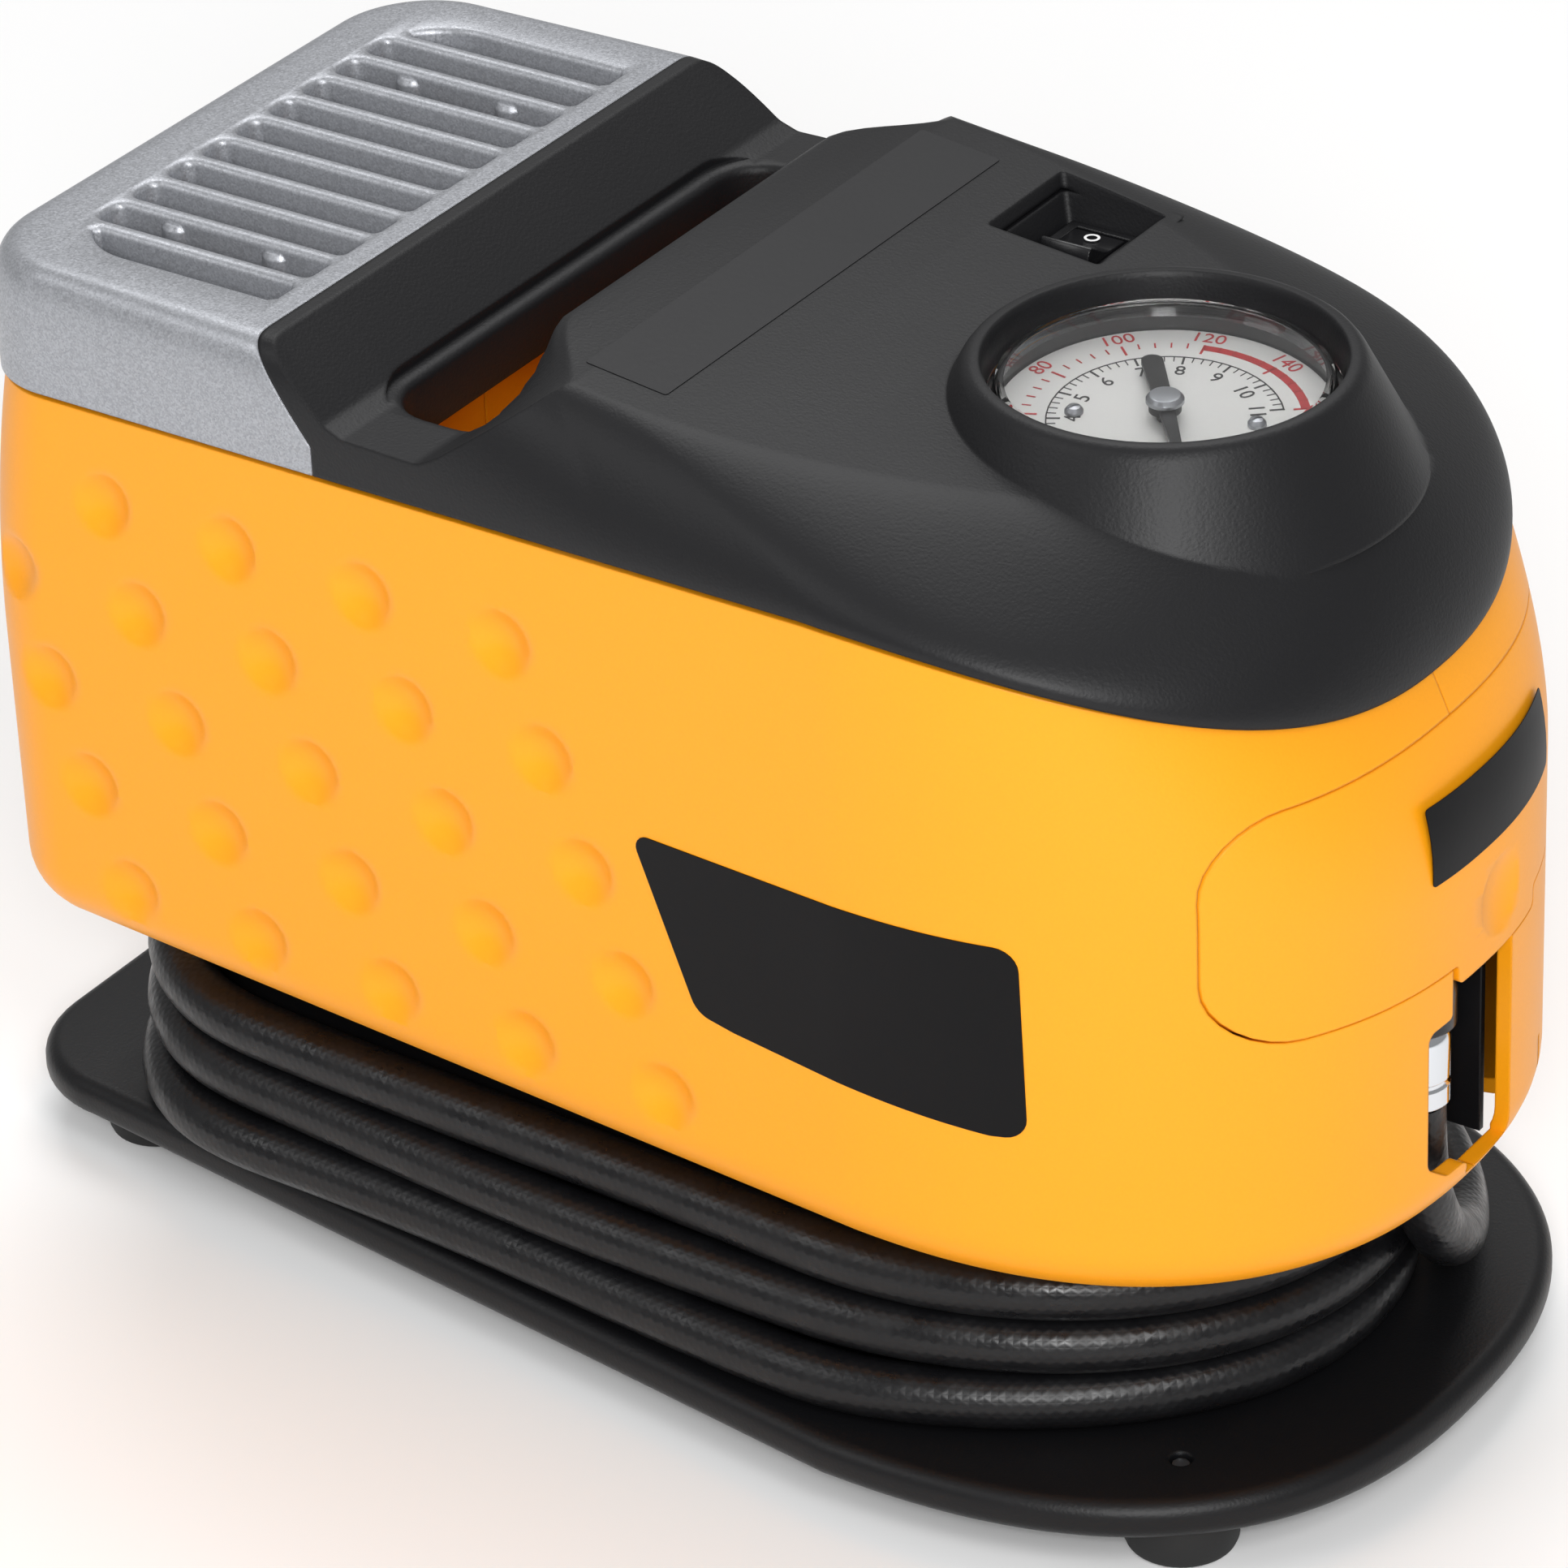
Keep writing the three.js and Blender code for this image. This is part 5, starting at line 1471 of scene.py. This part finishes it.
    def slot_outline(self, y: float, width: float) -> list[Point2]:
        """One slot of the grille; the outer ones follow the rounded back corner."""
        back, front, near, far, corner = -114.6, -66.0, abs(y) - width / 2, abs(y) + width / 2, 15.0
        if abs(y) < 49:
            points = filleted([(back, y - width / 2), (front, y - width / 2), (front, y + width / 2),
                (back, y + width / 2)],
                              [2.6, 1.2, 1.2, 2.6], 5)
            return points
        centre = (back + corner, far - corner)
        start = math.asin((near - centre[1]) / corner)
        arc = [blend(start + 0.08, math.pi / 2, k / 12) for k in range(13)]
        side = 1 if y > 0 else -1
        points = [(centre[0] - corner * math.cos(a), side * (centre[1] + corner * math.sin(a))) for a in arc]
        points += [(front - 1.0, side * far), (front, side * (far - 1.0)), (front, side * (near + 1.0)),
            (front - 1.0, side * near)]
        return [*points, (points[0][0] + 0.9, side * near)]

    def panel_label(self) -> None:
        """A clear film on the panel behind the gauge, without print."""
        outline = rounded_box(1.5, 18.5, 53, 0.6, 2)

        def on_panel(x: float, y: float, proud: float) -> Point3:
            return x, y, panel_z(x) + proud

        film = label_patch(
            "panel_label", outline, lambda x, y: on_panel(x, y, 0.02), lambda x, y: on_panel(x, y, 0.16)
        )
        Fitting(CLEAR_FILM, "black_plastic").fit(film)

    def build(self) -> None:
        """Makes both covers and the film on the panel."""
        self.top_cover()
        self.grille()
        self.panel_label()


# ---------------------------------------------------------------- base
@dataclass
class Base:
    """The base plate on its four feet, and the drum that the hose is wound on."""

    feet: tuple[Point2, ...] = ((118, 50), (118, -50), (-124, 38), (-124, -38))
    bottom: float = 9.0
    top: float = 17.0
    edge: float = 3.4

    def plate(self) -> None:
        """A plate with a fully rounded rim."""
        rings = []
        for k in range(9):
            a = k / 8 * math.pi / 2
            inset = self.edge * (1 - math.sin(a))
            height = self.bottom + self.edge * (1 - math.cos(a))
            rings.append([(x, y, height) for x, y in self.outline(inset)])
        for k in range(9):
            a = k / 8 * math.pi / 2
            inset = self.edge * (1 - math.cos(a))
            rings.append([(x, y, self.top - self.edge * (1 - math.sin(a))) for x, y in self.outline(inset)])
        plate = loft("base_plate_moulding", rings)
        for x, y in self.feet:
            hole = turned("screw_hole", [(0, 0), (2.2, 0), (2.2, 30), (0, 30)], (x, y, 0), steps=24)
            combine(plate, hole, Join.CUT)
        Fitting(BASE_ABS, "black_plastic", nodes=("base_plate",)).fit(plate)

    def outline(self, inset: float) -> list[Point2]:
        """The plate's outline at an inset."""
        return PLATE.ring(MEDIUM, inset, inset, inset)

    def drum(self) -> None:
        """The drum, a plain hollow column between the plate and the body."""
        low, high = self.top + GAP, 54.5
        inset = 5.8
        profile = [(inset, low), (inset, high), (inset + 3, high), (inset + 3, low)]
        rings = [[(x, y, z) for x, y in COIL.ring(MEDIUM, i, i, i)] for i, z in profile]
        count = len(rings[0])
        faces = []
        for j in range(4):
            a, b = j * count, (j + 1) % 4 * count
            faces += [(a + i, a + (i + 1) % count, b + (i + 1) % count, b + i) for i in range(count)]
        drum = face_outwards(mesh_piece("hose_drum_wall", [p for r in rings for p in r], faces))
        combine(drum, block("cradle", (15.7, 36.1, 10), (78, 80, 33)), Join.CUT)
        Fitting(SATIN_ABS, "black_plastic", nodes=("hose_drum",)).fit(drum)

    def build(self) -> None:
        """Makes the plate, the drum and the feet."""
        self.plate()
        self.drum()
        profile = [
            (0, 2.6), (1.6, 2.6), (1.6, 0.4), (2.4, 0), (9.2, 0), (10.1, 0.5), (10.5, 1.5), (10.5, 7.4),
            (10.2, 8.3),
            (9.4, 8.7), (4.4, 8.7), (4.4, 2.9), (0, 2.9),
        ]
        for i, (x, y) in enumerate(self.feet, 1):
            foot = turned(f"rubber_foot_{i}", profile, (x, y, 0), steps=48)
            Fitting(SOFT_RUBBER, "foot_rubber", nodes=(f"foot_{i}",)).fit(foot)


# ---------------------------------------------------------------- gauge and switch
@dataclass
class Gauge:
    """The pressure gauge: case, printed dial, needle and clear lens."""

    x: float = 86.0
    dial_z: float = 195.5
    radius: float = 31.0
    zero: float = -52.0
    sweep: float = 270.0
    full: float = 160.0

    def angle(self, value: float) -> float:
        """Direction of a reading, in radians from +X."""
        return math.radians(self.zero - self.sweep * value / self.full)

    def mark(self, angle: float, inner: float, outer: float, width: float) -> bpy.types.Object:
        """One tick on the dial."""
        tick = block("tick", (inner, -width / 2, 0), (outer, width / 2, 0.05))
        tick.data.transform(Matrix.Rotation(angle, 4, "Z"))
        return tick

    def numeral(self, text: str, angle: float, radius: float, size: float) -> bpy.types.Object:
        """A number whose top points outwards."""
        bpy.ops.object.text_add()
        numeral = bpy.context.object
        numeral.data.body = text
        numeral.data.size = size * MM
        numeral.data.align_x = "CENTER"
        numeral.data.align_y = "CENTER"
        numeral.data.extrude = 0.025 * MM
        numeral.data.resolution_u = 4
        select_only(numeral)
        bpy.ops.object.convert(target="MESH")
        place = Matrix.Rotation(angle, 4, "Z") @ Matrix.Translation((radius * MM, 0, 0.025 * MM))
        numeral.data.transform(place @ Matrix.Rotation(-math.pi / 2, 4, "Z"))
        return numeral

    def band(self, start: float, end: float, inner: float, outer: float) -> bpy.types.Object:
        """A printed arc between two readings."""
        steps = 40
        angles = [blend(self.angle(start), self.angle(end), i / steps) for i in range(steps + 1)]
        outline = [(outer * math.cos(a), outer * math.sin(a)) for a in angles]
        outline += [(inner * math.cos(a), inner * math.sin(a)) for a in reversed(angles)]
        return prism("band", outline, 0, 0.05, Facing.TOP)

    def print_on_dial(self) -> None:
        """Red outer scale with its band, and the black inner scale."""
        red = [self.band(120, 160, 22.9, 24.5)]
        red += [
            self.mark(self.angle(v), 23.0 if v % 20 else 21.6, 24.6, 0.28 if v % 20 else 0.42)
            for v in range(0, 161, 4)
        ]
        red += [self.numeral(str(v), self.angle(v), 26.9, 4.2) for v in range(0, 161, 20)]
        black = [self.band(0, 160, 19.9, 20.15)]
        black += [
            self.mark(self.angle(i * 14.504 / 5), 18.4 if i % 5 else 17.6, 20.1, 0.2 if i % 5 else 0.4)
            for i in range(56)
        ]
        black += [self.numeral(str(v), self.angle(v * 14.504), 15.4, 4.0) for v in range(12)]
        for name, parts, ink in (("dial_red_print", red, RED_INK), ("dial_black_print", black, BLACK_INK)):
            print_piece = join_pieces(name, parts)
            print_piece.data.transform(Matrix.Translation(Vector((self.x, 0, self.dial_z + 0.02)) * MM))
            Fitting(ink, "dial_white", smooth=20).fit(print_piece)

    def case(self) -> None:
        """A black cup with a rolled rim, and the white dial in it."""
        rim, low, r = self.dial_z + 3, 176.0, self.radius
        profile = [
            (0, low), (r - 0.8, low), (r, low + 0.8), (r, rim - 0.5), (r - 0.4, rim), (r - 1.1, rim),
            (r - 1.5, rim - 0.5),
            (r - 1.5, low + 1.5), (4.2, low + 1.5), (4.2, low + 0.4), (0, low + 0.4),
        ]
        case = turned("gauge_cup", profile, (self.x, 0, 0), steps=96)
        Fitting(GLOSS_ABS, "black_plastic", nodes=("gauge_case",)).fit(case)
        face = [(1.4, self.dial_z - 1), (29.1, self.dial_z - 1), (29.1, self.dial_z), (1.4, self.dial_z),
            (1.4, self.dial_z - 1)]
        dial = turned("gauge_face", face, (self.x, 0, 0), steps=96)
        Fitting(DIAL_CARD, "dial_white", nodes=("gauge_dial",)).fit(dial)
        self.print_on_dial()
        for i, degrees in enumerate((-157.0, 23.0), 1):
            a = math.radians(degrees)
            place = (self.x + 15.5 * math.cos(a), 15.5 * math.sin(a), self.dial_z + 0.02)
            screw = turned(f"dial_screw_{i}", [(0, 0), (1.6, 0), (1.6, 0.4), (1.1, 0.9), (0, 1.1)], place,
                steps=32)
            slot = block("slot", (-2, -0.22, 0.7), (2, 0.22, 2))
            slot.data.transform(Matrix.Translation(Vector(place) * MM) @ Matrix.Rotation(a + 0.6, 4, "Z"))
            combine(screw, slot, Join.CUT)
            Fitting(STEEL, "steel").fit(screw)

    def needle(self) -> None:
        """A black needle with a broad tail, and a silver cap on its hub."""
        turns = [math.pi / 2 + math.pi * k / 10 for k in range(11)]
        tail = [(-15 + 1.9 * math.cos(a), 1.9 * math.sin(a)) for a in turns]
        outline = [(25.5, -0.3), (25.9, 0), (25.5, 0.3), (0, 1.5), *tail, (0, -1.5)]
        low = self.dial_z + 1.6
        blade = prism("needle", outline, low, low + 0.7, Facing.TOP)
        hub = [(0, low - 9), (1, low - 9), (1, low - 0.3), (2.8, low - 0.3), (2.8, low + 1.0), (0, low + 1.0)]
        combine(blade, turned("hub", hub, (0, 0, 0), steps=40), Join.ADD)
        turn = Matrix.Rotation(math.radians(-50), 4, "Z")
        blade.data.transform(Matrix.Translation((self.x * MM, 0, 0)) @ turn)
        blade.name = "needle_blade"
        Fitting(SATIN_ABS, "gloss_black", "needle", ("gauge_needle",)).fit(blade)
        cap = [(0, low + 1.05), (3.3, low + 1.05), (3.3, low + 1.6), (2.7, low + 2.2), (0, low + 2.4)]
        Fitting(STEEL, "steel", "needle").fit(turned("needle_cap", cap, (self.x, 0, 0), steps=40))

    def lens(self) -> None:
        """A clear lens with a stepped edge."""
        low = self.dial_z + 3 + GAP
        top, r = low + 5.0, self.radius
        profile = [
            (r - 2.5, low), (r, low), (r, low + 1.6), (r - 0.3, low + 2.0), (r - 1.2, low + 2.2),
            (r - 1.3, top - 1.5),
            (r - 1.7, top - 0.6), (r - 2.6, top - 0.1), (r - 3.2, top), (0, top), (0, top - 1.2),
            (r - 3.3, top - 1.2),
            (r - 2.6, top - 1.7), (r - 2.5, top - 2.4), (r - 2.5, low),
        ]
        Fitting(LENS_ACRYLIC, "clear_lens", nodes=("gauge_lens",)).fit(turned("gauge_window", profile,
            (self.x, 0, 0), steps=96))

    def build(self) -> None:
        """Makes every piece of the gauge."""
        self.case()
        self.needle()
        self.lens()


@dataclass
class RockerSwitch:
    """The rocker switch in its recess."""

    x: float = 41.0
    y: float = 44.5

    def build(self) -> None:
        """Makes the bezel, the paddle and its ring mark."""
        x, y = self.x, self.y
        floor = panel_z(x) - 8 + GAP
        outer = filleted([(x - 8, y - 9.5), (x + 8, y - 9.5), (x + 8, y + 9.5), (x - 8, y + 9.5)], 0.8, 3)
        levels = [(floor - 6, -1), (floor, -1), (floor, 0), (floor + 1.2, 0), (floor + 1.6, -0.4)]
        bezel = flared("switch_bezel", outer, levels)
        combine(bezel, block("window", (x - 5.55, y - 7.55, floor - 5), (x + 5.55, y + 7.55, floor + 5)),
            Join.CUT)
        Fitting(GLOSS_ABS, "black_plastic", nodes=("switch_body",)).fit(bezel)
        z = panel_z(x) - 8 + 1.9
        h = 6.75
        outline = [(h, z + 0.2), (0, z + 0.7), (-h + 1.6, z + 3.9), (-h, z + 0.2), (-h + 2.4, z - 5),
            (0, z - 6.5), (h - 2, z - 5)]
        shape = filleted([(y + u, w) for u, w in outline], [0.5, 6, 0.6, 0.5, 1, 2, 1], 4)
        paddle = prism("switch_paddle", shape, x - 5.25, x + 5.25, Facing.NOSE)
        soften(paddle, lambda p: True, 0.3, 2, 60)
        Fitting(GLOSS_ABS, "gloss_black", "rocker", ("rocker_paddle",)).fit(paddle)
        ring = [(1.0, 0), (1.5, 0), (1.5, 0.08), (1.0, 0.08), (1.0, 0)]
        mark = turned("switch_mark", ring, (0, 0, 0), steps=40)
        lean = Matrix.Rotation(math.atan2(-0.3, h), 4, "X")
        mark.data.transform(Matrix.Translation(Vector((x, y + 3.6, z + 0.76)) * MM) @ lean)
        Fitting(WHITE_INK, "dial_white", "rocker").fit(mark)


# ---------------------------------------------------------------- works and small fittings
@dataclass
class Works:
    """The motor, pump and tubes inside, which keep their shapes from the frame."""

    nodes: dict[str, bpy.types.Object] = field(default_factory=dict)
    slots: dict[str, str] = field(default_factory=dict)

    def dress(self) -> None:
        """Gives every node of the frame the finish of its slot."""
        for name, node in self.nodes.items():
            finish = SLOT_FINISH[self.slots[name]]
            if name == "supply_tube":
                finish = SOFT_RUBBER
            node.data.materials.clear()
            node.data.materials.append(finish.material())

    def cord_gland(self) -> None:
        """The tapered gland of the mains lead, with grip rings, in the back wall."""
        profile = [(3.2, -17.6), (5.2, -17.6)]
        for k in range(4):
            at, radius = -16.0 + 2.6 * k, 5.3 + 0.32 * k
            profile += [(radius, at), (radius, at + 1.2), (radius - 0.5, at + 1.4), (radius - 0.5, at + 2.3)]
        profile += [(7.5, -5.4), (7.5, -5.1), (5.2, -5.1), (5.2, -1.7), (7.5, -1.7), (7.5, 1.4), (3.2, 1.4),
            (3.2, -17.6)]
        place = (-131.4, 30.0, 88.0)
        gland = turned("cord_bush", profile, place, "X", 40)
        Fitting(SOFT_RUBBER, "foot_rubber", nodes=("cord_gland",)).fit(gland)


def main() -> None:
    """Builds the inflator round its frame."""
    logging.basicConfig(level=logging.INFO, format="%(message)s")
    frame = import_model()
    slots = {part["node"]: part["material_slot"] for part in frame["record"]["subparts"]}
    Studio().build()
    works = Works(frame["nodes"], slots)
    works.dress()
    AirHose().build(Chuck().build())
    Housing().build()
    side_label()
    Covers().build()
    Base().build()
    Gauge().build()
    RockerSwitch().build()
    works.cord_gland()


if __name__ == "__main__":
    main()
